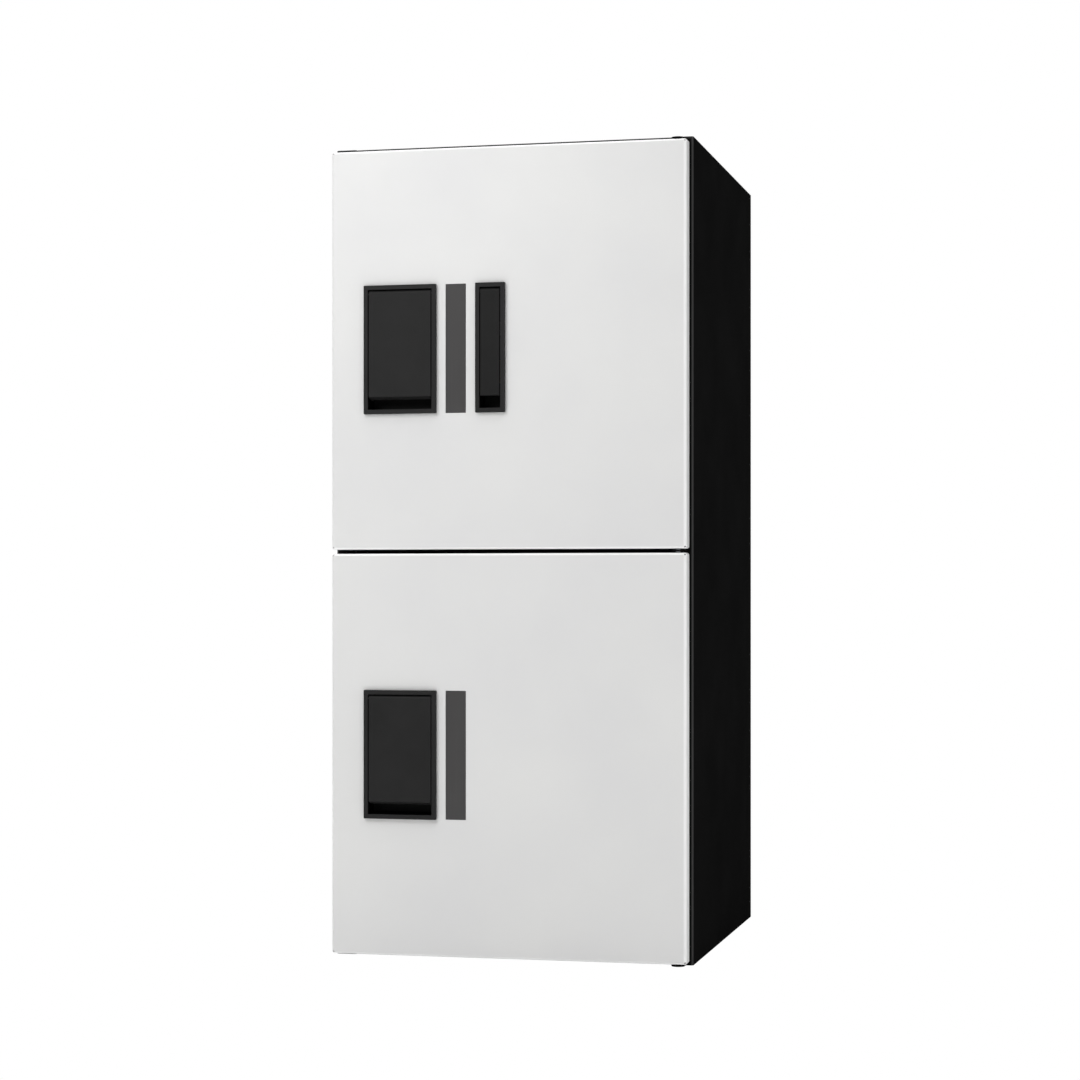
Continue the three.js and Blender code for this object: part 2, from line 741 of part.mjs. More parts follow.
// The pinion that drives the rack. A tooth points at the rack, into a tooth space.
function lockPinion({ middle }) {
  const pressure = Math.PI / 9;
  const base = pitchRadius * Math.cos(pressure);
  const tip = pitchRadius + gearModule;
  const root = pitchRadius - rackAddendum - 0.35 * gearModule;
  const involute = (angle) => Math.tan(angle) - angle;
  const halfAtPitch = Math.PI / (2 * pinionTeeth) - toothPlay / pitchRadius;
  const halfAt = (r) => {
    const angle = r <= base ? 0 : Math.acos(base / r);
    return Math.max(halfAtPitch + involute(pressure) - involute(angle), 0.03);
  };
  const flank = [root, base, pitchRadius - 0.2, pitchRadius + 0.3, tip - 0.3, tip];
  const outline = [];
  for (let tooth = 0; tooth < pinionTeeth; tooth++) {
    const middleAngle = -Math.PI / 2 + (2 * Math.PI * tooth) / pinionTeeth;
    const place = (r, offset) => {
      const angle = middleAngle + offset;
      outline.push(new THREE.Vector2(pinionX + r * Math.cos(angle), pinionY + r * Math.sin(angle)));
    };
    flank.forEach((r) => place(r, -halfAt(r)));
    [...flank].reverse().forEach((r) => place(r, halfAt(r)));
  }
  const half = pinionFace / 2;
  const through = [middle - half - 1, middle + half + 1];
  return cut(
    prism(new THREE.Shape(outline), "z", [middle - half, middle + half]),
    bar("z", motorShaftRadius + running, through, [pinionX, pinionY], 16),
  );
}

const motorBottom = boltHeight / 2 + lockPlate + 2 * slip + seat; // above the door's centre
const boltTail = boltTip + boltLength;

function lockMotor({ middle }) {
  const bottom = middle + motorBottom;
  return join(
    box(
      [pinionX - motorWidth / 2, pinionX + motorWidth / 2],
      [pinionY - motorDepth / 2, pinionY + motorDepth / 2],
      [bottom, bottom + motorLength],
    ),
    bar("z", motorShaftRadius, [middle - pinionFace / 2, bottom + 1], [pinionX, pinionY], 16),
  );
}

// The lock's chassis: a base on the inner panel, two walls that guide the bolt, and a shelf for the motor.
function lockCase({ middle }) {
  const left = coverLeft + coverWall + seat;
  const rearGuide = boltTail - boltThrow - 2 * lockPlate;
  const baseBack = coverFront + lockPlate;
  const wallBack = boltBack + lockPlate + slip;
  const reach = boltHeight / 2 + lockPlate + slip;
  const wall = (x) => box([x, x + lockPlate], [coverFront, wallBack], [middle - reach, middle + reach]);
  const shelfZ = middle + boltHeight / 2 + 2 * slip;
  const shelf = box(
    [pinionX - motorWidth / 2 - 2, pinionX + motorWidth / 2 + 2],
    [coverFront, pinionY + motorDepth / 2],
    [shelfZ, shelfZ + lockPlate],
  );
  const base = box([left, boltTail], [coverFront, baseBack], [middle - reach, shelfZ + motorLength]);
  const throughShelf = [shelfZ - 1, shelfZ + lockPlate + 1];
  const shaftHole = bar("z", motorShaftRadius + slip, throughShelf, [pinionX, pinionY], 16);
  return cut(
    join(base, wall(left), wall(rearGuide), shelf),
    boltHole([left - 1, boltTail + 1], middle, slip),
    shaftHole,
  );
}

// Cells side by side in a flat holder.
const cellsWidth = 2 * cellRadius * cellCount + (cellCount - 1) * seat;
const cellsLeft = boltTail + 2 * coverWall + lidMargin;
const cellsX = cellsLeft + cellsWidth / 2;

function batteryPack({ middle }) {
  const { thickness, besideCells, beyondCells, overlap } = cellHolder;
  const holderBack = coverFront + thickness;
  const holderHalf = cellLength / 2 + beyondCells;
  const holder = box(
    [cellsLeft - besideCells, cellsLeft + cellsWidth + besideCells],
    [coverFront, holderBack],
    [middle - holderHalf, middle + holderHalf],
  );
  const cells = [...Array(cellCount).keys()].map((k) => {
    const x = cellsLeft + cellRadius + k * (2 * cellRadius + seat);
    const y = holderBack + cellRadius - overlap;
    return bar("z", cellRadius, [middle - cellLength / 2, middle + cellLength / 2], [x, y], 16);
  });
  return join(holder, ...cells);
}

const lidHalf = { x: cellsWidth / 2 + lidMargin, z: cellLength / 2 + lidMargin };

function batteryLid({ middle }) {
  return box(
    [cellsX - lidHalf.x, cellsX + lidHalf.x],
    [coverBack - coverWall, coverBack],
    [middle - lidHalf.z, middle + lidHalf.z],
  );
}

function mechanismCover({ middle }) {
  const right = coverLeft + coverWidth;
  const half = coverHeight / 2;
  const shell = box([coverLeft, right], [coverFront, coverBack], [middle - half, middle + half]);
  const hollow = box(
    [coverLeft + coverWall, right - coverWall],
    [coverFront - 1, coverBack - coverWall],
    [middle - half + coverWall, middle + half - coverWall],
  );
  const lidOpening = box(
    [cellsX - lidHalf.x - slip, cellsX + lidHalf.x + slip],
    [coverBack - coverWall - 1, coverBack + 1],
    [middle - lidHalf.z - slip, middle + lidHalf.z + slip],
  );
  return cut(shell, hollow, lidOpening, boltHole([coverLeft - 1, coverLeft + coverWall + 1], middle, slip));
}

// A flanged bush in a door's end. `end` is the door's end face and `inward` is towards the door's middle.
function hingeBush(end, inward) {
  const span = (from, to) => [end + inward * from, end + inward * to].sort((a, b) => a - b);
  const flangeFrom = panelInset + panelSheet + seat;
  const body = join(
    bar("z", bushRadius, span(0, bushLength), [hingeX, hingeY], 20),
    bar("z", bushFlangeRadius, span(flangeFrom, flangeFrom + bushFlange), [hingeX, hingeY], 20),
  );
  return cut(body, bar("z", hingePinRadius + running, span(-1, bushLength + 1), [hingeX, hingeY], 20));
}

for (const door of doors) {
  const addTo = (piece, solid, material) => add(`${door.name}_${piece}`, solid, material);
  addTo("door_skin", doorSkin(door), materials.doorCoat);
  addTo("inner_panel", innerPanel(door), materials.innerCoat);
  addTo("door_seal", doorSeal(door), materials.rubber);
  addTo("handle_housing", recess(handleX, handleWidth, door.middle), materials.handlePlastic);
  addTo("handle_paddle", paddle(door), materials.paddlePlastic);
  addTo("paddle_pin", leafPin(handleX, handleWidth, door.middle), materials.springSteel);
  addTo("paddle_spring", paddleSpring(door), materials.springSteel);
  addTo("status_window", statusWindow(door), materials.smokedAcrylic);
  addTo("control_board", controlBoard(door), materials.circuitBoard);
  addTo("lock_case", lockCase(door), materials.zincSteel);
  addTo("lock_bolt", lockBolt(door), materials.zincSteel);
  addTo("lock_pinion", lockPinion(door), materials.brass);
  addTo("lock_motor", lockMotor(door), materials.springSteel);
  addTo("battery_pack", batteryPack(door), materials.cellWrap);
  addTo("mechanism_cover", mechanismCover(door), materials.coverPlastic);
  addTo("battery_lid", batteryLid(door), materials.coverPlastic);
  addTo("hinge_bush_top", hingeBush(door.top, -1), materials.nylon);
  addTo("hinge_bush_bottom", hingeBush(door.bottom, 1), materials.nylon);
}

// ---- Service recess of the upper door ---------------------------------------------------------------

const keyAt = [serviceX, upperDoor.middle + keyAboveCentre];
const keyHeadFront = recessFloor - seat - keyHeadLength;
const keyTail = recessFloor + keyBodyLength;

function serviceHousing() {
  const through = [recessFloor - 1, recessFloor + recessWall + 1];
  return cut(recess(serviceX, serviceWidth, upperDoor.middle), bar("y", keyBodyRadius + seat, through, keyAt));
}

function keyCylinder() {
  return cut(
    join(
      bar("y", keyHeadRadius, [keyHeadFront, recessFloor - seat], keyAt),
      bar("y", keyBodyRadius, [recessFloor - 1, keyTail], keyAt),
    ),
    bar("y", keyPlugRadius + running, [keyHeadFront - 1, keyTail + 1], keyAt),
  );
}

// The part of the switch that the key turns: a plug with a keyway, and a cam on its tail.
function keyPlug() {
  const front = keyHeadFront - seat;
  const [x, z] = keyAt;
  const camFront = keyTail + slip;
  const cam = join(
    bar("y", keyPlugRadius + 1, [camFront, camFront + lockPlate], keyAt),
    box([x - keyCamWidth / 2, x + keyCamWidth / 2], [camFront, camFront + lockPlate], [z - keyCamLength, z]),
  );
  const keyway = box(
    [x - keySlotWidth / 2, x + keySlotWidth / 2],
    [front - 1, front + keySlotDepth],
    [z - keySlotHeight / 2, z + keySlotHeight / 2],
  );
  return cut(join(bar("y", keyPlugRadius, [front, camFront + 0.5], keyAt), cam), keyway);
}

// Two pads that an outside battery is held against when the cells are flat.
function powerContacts() {
  const { width, height, depth, below, padRadius, padProud } = contactBlock;
  const z = upperDoor.middle - below;
  const front = recessFloor - seat - depth;
  const pads = [-1, 1].map((side) =>
    bar("y", padRadius, [front - padProud, front + 1], [serviceX, z + (side * height) / 4], 16),
  );
  const across = [serviceX - width / 2, serviceX + width / 2];
  return join(box(across, [front, recessFloor - seat], [z - height / 2, z + height / 2]), ...pads);
}

add("service_housing", serviceHousing(), materials.handlePlastic);
const flapFoot = upperDoor.middle + recessFoot + flapGap;
add("service_flap", leaf(serviceX, serviceWidth, upperDoor.middle, flapFoot), materials.paddlePlastic);
add("service_flap_pin", leafPin(serviceX, serviceWidth, upperDoor.middle), materials.springSteel);
add("key_cylinder", keyCylinder(), materials.zincSteel);
add("key_plug", keyPlug(), materials.brass);
add("power_contacts", powerContacts(), materials.brass);

export default locker;
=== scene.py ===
# %% [markdown]
# # A parcel locker, made round its engineering model
#
# The engineering model already holds every part of the locker at its real size and place. This
# script loads it as a fixed frame, and then makes each visible part as it would be made in a
# workshop: sheet steel is folded, plastic is moulded with rounded edges, pins and bushes are
# turned. Each part gets the finish that its process leaves.
#
# Lengths are in millimetres until they are put in a mesh, because that is how such parts are
# drawn.

# %% Load the frame
import math

import bmesh
import bpy
import numpy as np
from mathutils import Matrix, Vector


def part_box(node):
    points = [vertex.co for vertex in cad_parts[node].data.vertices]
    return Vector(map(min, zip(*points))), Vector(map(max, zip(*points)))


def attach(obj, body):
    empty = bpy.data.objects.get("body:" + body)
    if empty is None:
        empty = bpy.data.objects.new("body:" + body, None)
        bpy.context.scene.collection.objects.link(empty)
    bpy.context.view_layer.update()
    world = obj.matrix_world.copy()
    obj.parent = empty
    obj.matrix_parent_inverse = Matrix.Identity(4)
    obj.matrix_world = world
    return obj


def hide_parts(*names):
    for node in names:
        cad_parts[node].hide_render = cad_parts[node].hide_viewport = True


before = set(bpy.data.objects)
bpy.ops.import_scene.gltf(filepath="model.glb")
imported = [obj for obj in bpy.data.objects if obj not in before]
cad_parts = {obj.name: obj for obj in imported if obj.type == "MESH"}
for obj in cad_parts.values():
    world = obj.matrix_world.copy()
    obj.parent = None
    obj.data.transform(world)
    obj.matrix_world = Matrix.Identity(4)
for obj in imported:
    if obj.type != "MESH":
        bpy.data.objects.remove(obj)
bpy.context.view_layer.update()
MM = 0.001


def span(node):
    """A node's lowest and highest corner, in millimetres."""
    low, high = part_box(node)
    return np.array(low) / MM, np.array(high) / MM


def front_outline(node):
    """A node's corners, and the middle and half sizes of what it covers when it is seen from the
    front."""
    low, high = span(node)
    centre = ((low[0] + high[0]) / 2, (low[2] + high[2]) / 2)
    return low, high, centre, (high[0] - low[0]) / 2, (high[2] - low[2]) / 2


# %% [markdown]
# ## Meshes from arrays
#
# A part's surface is a grid: one parameter runs round it and the other runs along it. Numpy works
# out all of the grid's points at once, and the faces join each point to its neighbours. The mesh
# is then welded, so that seams and poles close, and its faces are turned outwards.
#
# A flat face next to a small round edge shades badly when the two share their normals. The
# Weighted Normal modifier lets the large face decide, which is what gives pressed and moulded
# parts their crisp look.

# %% Grids and pieces
WELD = 2e-6  # metres between points that are welded into one
NEAR = 0.1  # millimetres between a point and a plane that it counts as lying on


def grid_faces(rows, columns, keep=None, closed=False):
    """Quads between neighbours of a grid of points. `keep` drops cells, and `closed` joins the last
    column to the first."""
    across = columns if closed else columns - 1
    i, j = np.meshgrid(np.arange(rows - 1), np.arange(across), indexing="ij")
    after = (j + 1) % columns
    here, above = i * columns, (i + 1) * columns
    quads = np.stack([here + j, here + after, above + after, above + j], -1)
    return quads.reshape(-1, 4) if keep is None else quads[keep]


def end_caps(rows, columns, first=True, last=True):
    """Flat caps on the first and the last row of a closed grid: each is one face with all of the
    row's points."""
    caps = []
    if first:
        caps.append(list(range(columns))[::-1])
    if last:
        caps.append([(rows - 1) * columns + k for k in range(columns)])
    return caps


def joined(*parts):
    """Several (points, faces) as one."""
    offsets = np.cumsum([0] + [len(points) for points, _ in parts])
    faces = [
        [index + offset for index in face]
        for (_, group), offset in zip(parts, offsets)
        for face in group
    ]
    return np.vstack([points for points, _ in parts]), faces


def edge_marks(points, planes):
    """How close each point is to a round edge between two of the planes, from 0 to 1. A point's
    closeness to a plane (axis, value, radius) falls from 1 to 0 over the radius. On a flat face
    only one closeness is large, so the second largest tells an edge. It is 1 / sqrt 2 in the middle
    of a round one, so it is multiplied by sqrt 2."""
    closeness = [
        np.clip(1 - np.abs(points[:, axis] - value) / radius, 0, 1)
        for axis, value, radius in planes
    ]
    second = np.sort(closeness, axis=0)[-2]
    return np.clip(second * math.sqrt(2), 0, 1)


def piece(name, shape, material, body, replaces=(), facing=None, sheet=0, edge=0, marks=None):
    """Makes a mesh object from (points in mm, faces). A closed shape's faces turn outwards by
    themselves, and an open one's largest face turns to `facing`. `sheet` is a wall thickness that
    is added behind the surface, and `edge` rounds what sharp edges are left. `marks` are attributes
    for the material, one number for each point."""
    points, faces = shape
    mesh = bpy.data.meshes.new(name)
    mesh.from_pydata((np.asarray(points) * MM).tolist(), [], [list(map(int, face)) for face in faces])
    for mark, values in (marks or {}).items():
        mesh.attributes.new(mark, "FLOAT", "POINT").data.foreach_set("value", np.asarray(values, float))
    work = bmesh.new()
    work.from_mesh(mesh)
    bmesh.ops.remove_doubles(work, verts=work.verts, dist=WELD)
    bmesh.ops.recalc_face_normals(work, faces=work.faces)
    if facing is not None:
        largest = max(work.faces, key=lambda face: face.calc_area())
        if np.dot(largest.normal, facing) < 0:
            bmesh.ops.reverse_faces(work, faces=work.faces)
    work.to_mesh(mesh)
    work.free()
    mesh.polygons.foreach_set("use_smooth", np.ones(len(mesh.polygons), bool))
    mesh.materials.append(material)
    made = bpy.data.objects.new(name, mesh)
    bpy.context.collection.objects.link(made)
    if sheet:
        wall = made.modifiers.new("wall", "SOLIDIFY")
        wall.thickness = sheet * MM
        wall.offset = -1
        wall.use_even_offset = True
    if edge:
        rounding = made.modifiers.new("rounding", "BEVEL")
        rounding.width = edge * MM
        rounding.segments = 2
        rounding.limit_method = "ANGLE"
        rounding.angle_limit = math.radians(50)
        rounding.use_clamp_overlap = True
    made.modifiers.new("flat faces decide", "WEIGHTED_NORMAL").weight = 100
    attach(made, body)
    if replaces:
        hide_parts(*replaces)
    print(f"{name}: {len(mesh.polygons)} faces on {body}")
    return made


# %% [markdown]
# ## Outlines
#
# Nearly every section of a manufactured part is a few straight lines with round corners. `fillet`
# rounds the corners of such a line, and `ring` makes the rounded rectangle that most profiles are
# carried round.

# %% Rounded lines and rings
def unit(vector):
    """The vector divided by its length."""
    return vector / np.linalg.norm(vector)


def fillet(corners, radii, steps=5):
    """A line with round corners: at each corner, an arc that touches both sides at radius /
    tan(half the angle) from the corner. The first and last corner of an open line have radius 0."""
    corners = np.asarray(corners, float)
    line = []
    for i, radius in enumerate(radii):
        corner = corners[i]
        if radius == 0:
            line.append(corner[None])
            continue
        before = unit(corners[i - 1] - corner)
        after = unit(corners[(i + 1) % len(corners)] - corner)
        half = np.arccos(np.clip(before @ after, -1, 1)) / 2
        centre = corner + unit(before + after) * radius / np.sin(half)
        start = corner + before * radius / np.tan(half) - centre
        end = corner + after * radius / np.tan(half) - centre
        sweep = np.pi - 2 * half
        share = np.linspace(0, 1, steps + 1)[:, None]
        arc = np.sin((1 - share) * sweep) * start + np.sin(share * sweep) * end
        line.append(centre + arc / np.sin(sweep))
    return np.vstack(line)


def ring(half_a, half_b, radius, steps=5):
    """Closed rounded rectangles, one for each entry of the arrays: four quarter circles of that
    radius, whose centres are the corners pulled in by it."""
    half_a, half_b, radius = (np.asarray(v, float)[:, None, None] for v in (half_a, half_b, radius))
    turn = np.arange(4)[:, None] * np.pi / 2 + np.linspace(0, np.pi / 2, steps + 1)
    sign_a = np.array([1, -1, -1, 1])[:, None]
    sign_b = np.array([1, 1, -1, -1])[:, None]
    a = sign_a * (half_a - radius) + radius * np.cos(turn)
    b = sign_b * (half_b - radius) + radius * np.sin(turn)
    return a.reshape(len(a), -1), b.reshape(len(b), -1)


# where a, b and depth go for a shape along each axis
ORDER = {"x": (2, 0, 1), "y": (0, 2, 1), "z": (0, 1, 2)}


def placed(a, b, depth, centre, axis):
    """Points of a shape that is drawn on (a, b) and runs along an axis. `centre` is where (0, 0)
    lies."""
    stacked = np.stack(np.broadcast_arrays(a + centre[0], b + centre[1], depth), -1)
    return stacked[..., ORDER[axis]].reshape(-1, 3)


def carried(profile, half_a, half_b, corner, centre, axis, caps=(True, True), steps=5):
    """A profile of (inset, depth) carried round a rounded rectangle. Each point of it draws one
    ring, shrunk by the inset. The first and last ring are closed with a flat cap."""
    inset, depth = np.asarray(profile, float).T
    a, b = ring(half_a - inset, half_b - inset, np.maximum(corner - inset, 0.05), steps)
    rows, columns = a.shape
    faces = grid_faces(rows, columns, closed=True).tolist() + end_caps(rows, columns, *caps)
    return placed(a, b, depth[:, None], centre, axis), faces


def turned(profile, centre, axis, around=48):
    """A lathe-turned part: a profile of (radius, depth) carried round an axis."""
    radius, depth = np.asarray(profile, float).T
    angle = np.linspace(0, 2 * np.pi, around, endpoint=False)
    a = radius[:, None] * np.cos(angle)
    b = radius[:, None] * np.sin(angle)
    return placed(a, b, depth[:, None], centre, axis), grid_faces(len(radius), around, closed=True).tolist()


def slab(low, high, axis="y", corner=1.0, edge=0.4):
    """A block with round corners round `axis`, and a smaller round edge at both of its ends."""
    order = ORDER[axis]
    low, high = (np.array(v, float)[np.argsort(order)] for v in (low, high))
    centre, half = (low + high) / 2, (high - low) / 2
    corners = [(edge * 2, low[2]), (0, low[2]), (0, high[2]), (edge * 2, high[2])]
    profile = fillet(corners, [0, edge, edge, 0], 3)
    return carried(profile, half[0], half[1], corner, centre[:2], axis)


# %% [markdown]
# ## Nodes
#
# Colours are written as sRGB hex values, as a paint maker gives them, and one function turns them
# into the linear values that a renderer multiplies. Another adds a shader node with its settings
# and links.

# %% Colours and nodes
def linear(code):
    """An sRGB hex colour in linear light."""
    value = np.array([int(code[k:k + 2], 16) for k in (1, 3, 5)]) / 255
    low, high = value / 12.92, ((value + 0.055) / 1.055) ** 2.4
    return (*np.where(value <= 0.04045, low, high), 1.0)


def add(tree, kind, inputs=(), **settings):
    """Adds a node. Each input is given a value, or a link when it is another node's output."""
    made = tree.nodes.new(kind)
    for key, value in settings.items():
        setattr(made, key, value)
    for key, value in dict(inputs).items():
        if isinstance(value, bpy.types.NodeSocket):
            tree.links.new(value, made.inputs[key])
        else:
            made.inputs[key].default_value = value
    return made


def blank(name):
    """A new material: its node tree, its shader, and the object's own coordinates in metres."""
    material = bpy.data.materials.new(name)
    material.use_nodes = True
    tree = material.node_tree
    shader = tree.nodes["Principled BSDF"]
    coordinates = tree.nodes.new("ShaderNodeTexCoord").outputs["Object"]
    return material, tree, shader, coordinates


def noise(tree, coordinates, size, detail=3.0, stretch=(1, 1, 1)):
    """Noise whose blotches are about `size` mm, longer where `stretch` is small."""
    mapping = add(tree, "ShaderNodeMapping", {"Vector": coordinates, "Scale": stretch})
    inputs = {"Vector": mapping.outputs["Vector"], "Scale": 1 / (size * MM), "Detail": detail}
    return add(tree, "ShaderNodeTexNoise", inputs).outputs["Fac"]


def marked(tree, mark):
    """The attribute that a piece carries under this name. It is 0 where a piece has none."""
    return add(tree, "ShaderNodeAttribute", attribute_name=mark).outputs["Fac"]


def between(tree, share, low, high):
    """A number that follows `share` from low to high."""
    return add(tree, "ShaderNodeMapRange", {"Value": share, "To Min": low, "To Max": high}).outputs["Result"]


def blended(tree, share, first, second):
    """A colour that goes from the first hex value to the second as `share` goes from 0.3 to 0.7."""
    ramp = add(tree, "ShaderNodeValToRGB", {"Fac": share})
    ramp.color_ramp.elements[0].position = 0.3
    ramp.color_ramp.elements[1].position = 0.7
    ramp.color_ramp.elements[0].color = linear(first)
    ramp.color_ramp.elements[1].color = linear(second)
    return ramp.outputs["Color"]


def over(tree, share, below, code):
    """A colour that is covered by a hex colour where `share` is 1."""
    mixed = add(tree, "ShaderNodeMix", data_type="RGBA")
    tree.links.new(share, mixed.inputs["Factor"])
    tree.links.new(below, mixed.inputs[6])
    mixed.inputs[7].default_value = linear(code)
    return mixed.outputs[2]


def bump(tree, height, depth, strength=1.0, normal=None):
    """A bump whose full height is `depth` mm."""
    inputs = {"Height": height, "Distance": depth * MM, "Strength": strength}
    if normal is not None:
        inputs["Normal"] = normal
    return add(tree, "ShaderNodeBump", inputs).outputs["Normal"]


def dress(shader, tree, **values):
    """Sets or links the shader's sockets, named with underscores for spaces."""
    for key, value in values.items():
        socket = shader.inputs[key.replace("_", " ")]
        if isinstance(value, bpy.types.NodeSocket):
            tree.links.new(value, socket)
        else:
            socket.default_value = value


# %% [markdown]
# ## Painted sheet steel
#
# The doors and the case are powder coated: dry paint is sprayed on and baked until it flows. A
# smooth white coat keeps a faint orange peel, blotches a few millimetres across and some
# hundredths of a millimetre deep. Its folds are a little glossier, and are painted a brighter
# white than the face: a painted highlight. The black is a fine-texture coat, which is gritty and
# hides fingerprints, so it has almost no shine. Its folds are painted grey: a painted highlight
# where a fold would catch the light.

# %% Powder coats
def white_powder_coat():
    """Smooth baked white: a soft sheen with a faint orange peel."""
    material, tree, shader, place = blank("white_powder_coat_baked")
    peel = noise(tree, place, 3.2, 2.0)
    drift = noise(tree, place, 140, 2.0)
    wiped = noise(tree, place, 26, 4.0, (1, 1, 0.35))
    face = blended(tree, drift, "#D8D8D8", "#DCDCDB")
    edge = marked(tree, "edge")
    shine = {0: between(tree, wiped, 0.36, 0.48), 1: between(tree, edge, 1.0, 0.5)}
    # The "edge" mark paints the folds a brighter white than the face: a painted highlight. It also lowers
    # the roughness there.
    dress(
        shader, tree,
        Base_Color=over(tree, edge, face, "#FBFBFB"),
        Roughness=add(tree, "ShaderNodeMath", shine, operation="MULTIPLY").outputs["Value"],
        IOR=1.5,
        Specular_IOR_Level=0.5,
        Normal=bump(tree, peel, 0.03, 0.5),
    )
    return material


def black_powder_coat(name, dark, light, grit):
    """Fine-texture black: grit that scatters nearly all of the shine."""
    material, tree, shader, place = blank(name)
    grains = noise(tree, place, grit, 5.0)
    drift = noise(tree, place, 90, 3.0)
    face = blended(tree, drift, dark, light)
    # The "edge" mark paints the folds grey: a painted highlight where a fold would catch the light.
    dress(
        shader, tree,
        Base_Color=over(tree, marked(tree, "edge"), face, "#494949"),
        Roughness=between(tree, grains, 0.75, 0.92),
        IOR=1.5,
        Specular_IOR_Level=0.0,
        Normal=bump(tree, grains, 0.12, 0.45),
    )
    return material


WHITE = white_powder_coat()
CASE_BLACK = black_powder_coat("black_powder_coat_fine_texture", "#121212", "#161616", 1.6)
PAN_BLACK = black_powder_coat("black_powder_coat_inner_panel", "#1E1E1E", "#232323", 1.6)
print("powder coats:", WHITE.name, CASE_BLACK.name, PAN_BLACK.name)

# %% [markdown]
# ## Moulded plastics and rubber
#
# The handle is moulded in ABS, in a tool with a spark-eroded texture: tiny pits, which make it
# matt. The window is clear acrylic, printed grey behind, so its surface is glossy but its colour
# seems to lie inside. The seal is foamed EPDM rubber, with open cells at its skin.

# %% Plastics
def textured_abs(name, dark, light, roughness, pit=1.1):
    """Spark-eroded ABS: fine pits, and a slightly uneven sheen where it was touched."""
    material, tree, shader, place = blank(name)
    pits = noise(tree, place, pit, 6.0)
    touched = noise(tree, place, 34, 3.0)
    face = blended(tree, touched, dark, light)
    # Points that a piece marks for it are coloured near black: painted shade inside a recess.
    dress(
        shader, tree,
        Base_Color=over(tree, marked(tree, "recess_shade"), face, "#060606"),
        Roughness=between(tree, touched, roughness - 0.05, roughness + 0.07),
        IOR=1.53,
        Specular_IOR_Level=0.1,
        Normal=bump(tree, pits, 0.05, 0.4),
    )
    return material


def printed_acrylic():
    """Smoked acrylic, printed behind: a faint grain in the print, and a clear glossy face."""
    material, tree, shader, place = blank("smoked_acrylic_back_printed")
    streaks = noise(tree, place, 2.2, 2.0, (1, 1, 0.02))
    drift = noise(tree, place, 60, 2.0)
    tone = add(tree, "ShaderNodeMath", {0: streaks, 1: drift}, operation="MULTIPLY").outputs["Value"]
    dress(
        shader, tree,
        Base_Color=blended(tree, between(tree, tone, 0.1, 0.9), "#474646", "#4C4B4B"),
        Roughness=between(tree, drift, 0.3, 0.4),
        IOR=1.49,
        Specular_IOR_Level=0.1,
    )
    return material


def foam_rubber():
    """Foamed EPDM: matt black with open cells."""
    material, tree, shader, place = blank("foamed_epdm_rubber")
    scale = 1 / (1.2 * MM)
    cells = add(tree, "ShaderNodeTexVoronoi", {"Vector": place, "Scale": scale}).outputs["Distance"]
    drift = noise(tree, place, 20, 3.0)
    dress(
        shader, tree,
        Base_Color=blended(tree, drift, "#0D0D0D", "#141414"),
        Roughness=between(tree, drift, 0.82, 0.95),
        Specular_IOR_Level=0.25,
        Normal=bump(tree, cells, 0.15, 0.6),
    )
    return material


def moulded(name, dark, light, roughness, glow=0.0):
    """A plain moulding with a fine uneven sheen, such as nylon or a printed film."""
    material, tree, shader, place = blank(name)
    drift = noise(tree, place, 9, 4.0)
    dress(
        shader, tree,
        Base_Color=blended(tree, drift, dark, light),
        Roughness=between(tree, drift, roughness - 0.06, roughness + 0.06),
        IOR=1.5,
        Subsurface_Weight=glow,
        Subsurface_Scale=1.0 * MM,
        Normal=bump(tree, drift, 0.04, 0.3),
    )
    return material


HANDLE_ABS = textured_abs("textured_abs_bezel", "#242424", "#272727", 0.5)
PADDLE_ABS = textured_abs("textured_abs_paddle", "#222222", "#252525", 0.52)
FLAP_ABS = textured_abs("textured_abs_flap", "#1B1B1B", "#1E1E1E", 0.52)
COVER_ABS = textured_abs("textured_abs_cover", "#343437", "#3A3A3D", 0.58, 1.6)
ACRYLIC = printed_acrylic()
SEAL = foam_rubber()
NYLON = moulded("moulded_nylon_natural", "#DDDACF", "#E8E5DC", 0.45, 0.1)
HOLDER = moulded("moulded_magnet_holder", "#1B1B1B", "#202020", 0.55)
MASK = moulded("solder_mask_green", "#0F3A22", "#154A2C", 0.35)
FILM = moulded("printed_cell_film", "#626366", "#717276", 0.3)
print("plastics:", HANDLE_ABS.name, PADDLE_ABS.name, COVER_ABS.name, ACRYLIC.name, SEAL.name)

# %% [markdown]
# ## Plated and bare metal
#
# Strike plates, the lock's chassis and the key switch's barrel are zinc plated: a bluish white
# metal with faint crystals and a mixed shine. Pins and springs are ground or drawn steel, with fine
# lines along the way they were worked. The key switch's plug and the contacts are brass.

# %% Metals
def metal(name, dark, light, roughness, crystal, stretch=(1, 1, 1), depth=0.01):
    """A metal whose colour, shine and height follow one pattern: crystals, or lines when it is
    stretched."""
    material, tree, shader, place = blank(name)
    pattern = noise(tree, place, crystal, 4.0, stretch)
    dress(
        shader, tree,
        Base_Color=blended(tree, pattern, dark, light),
        Metallic=1.0,
        Roughness=between(tree, pattern, roughness - 0.08, roughness + 0.08),
        Normal=bump(tree, pattern, depth, 0.5),
    )
    return material


ZINC = metal("zinc_plated_steel", "#A9ADB3", "#C2C6CA", 0.36, 4.0)
GROUND = metal("ground_steel_pin", "#8F9196", "#A8AAAE", 0.28, 1.5, (1, 1, 0.1))
BRASS = metal("turned_brass", "#A98A4B", "#C4A66A", 0.3, 1.5, (1, 0.15, 1))
print("metals:", ZINC.name, GROUND.name, BRASS.name)

# %% [markdown]
# ## Case: folded sheets
#
# A side of the case is one sheet: the outer wall, folded in at the front to a flange, and folded
# back to a lip that stiffens the door opening. So it is made as a folding press makes it: a line
# with a bend radius at each fold, carried along the locker's height. Cells of the grid are left
# out where the press punched a hole. The grid has a line at each edge of a hole, so a hole's
# edges are exact.

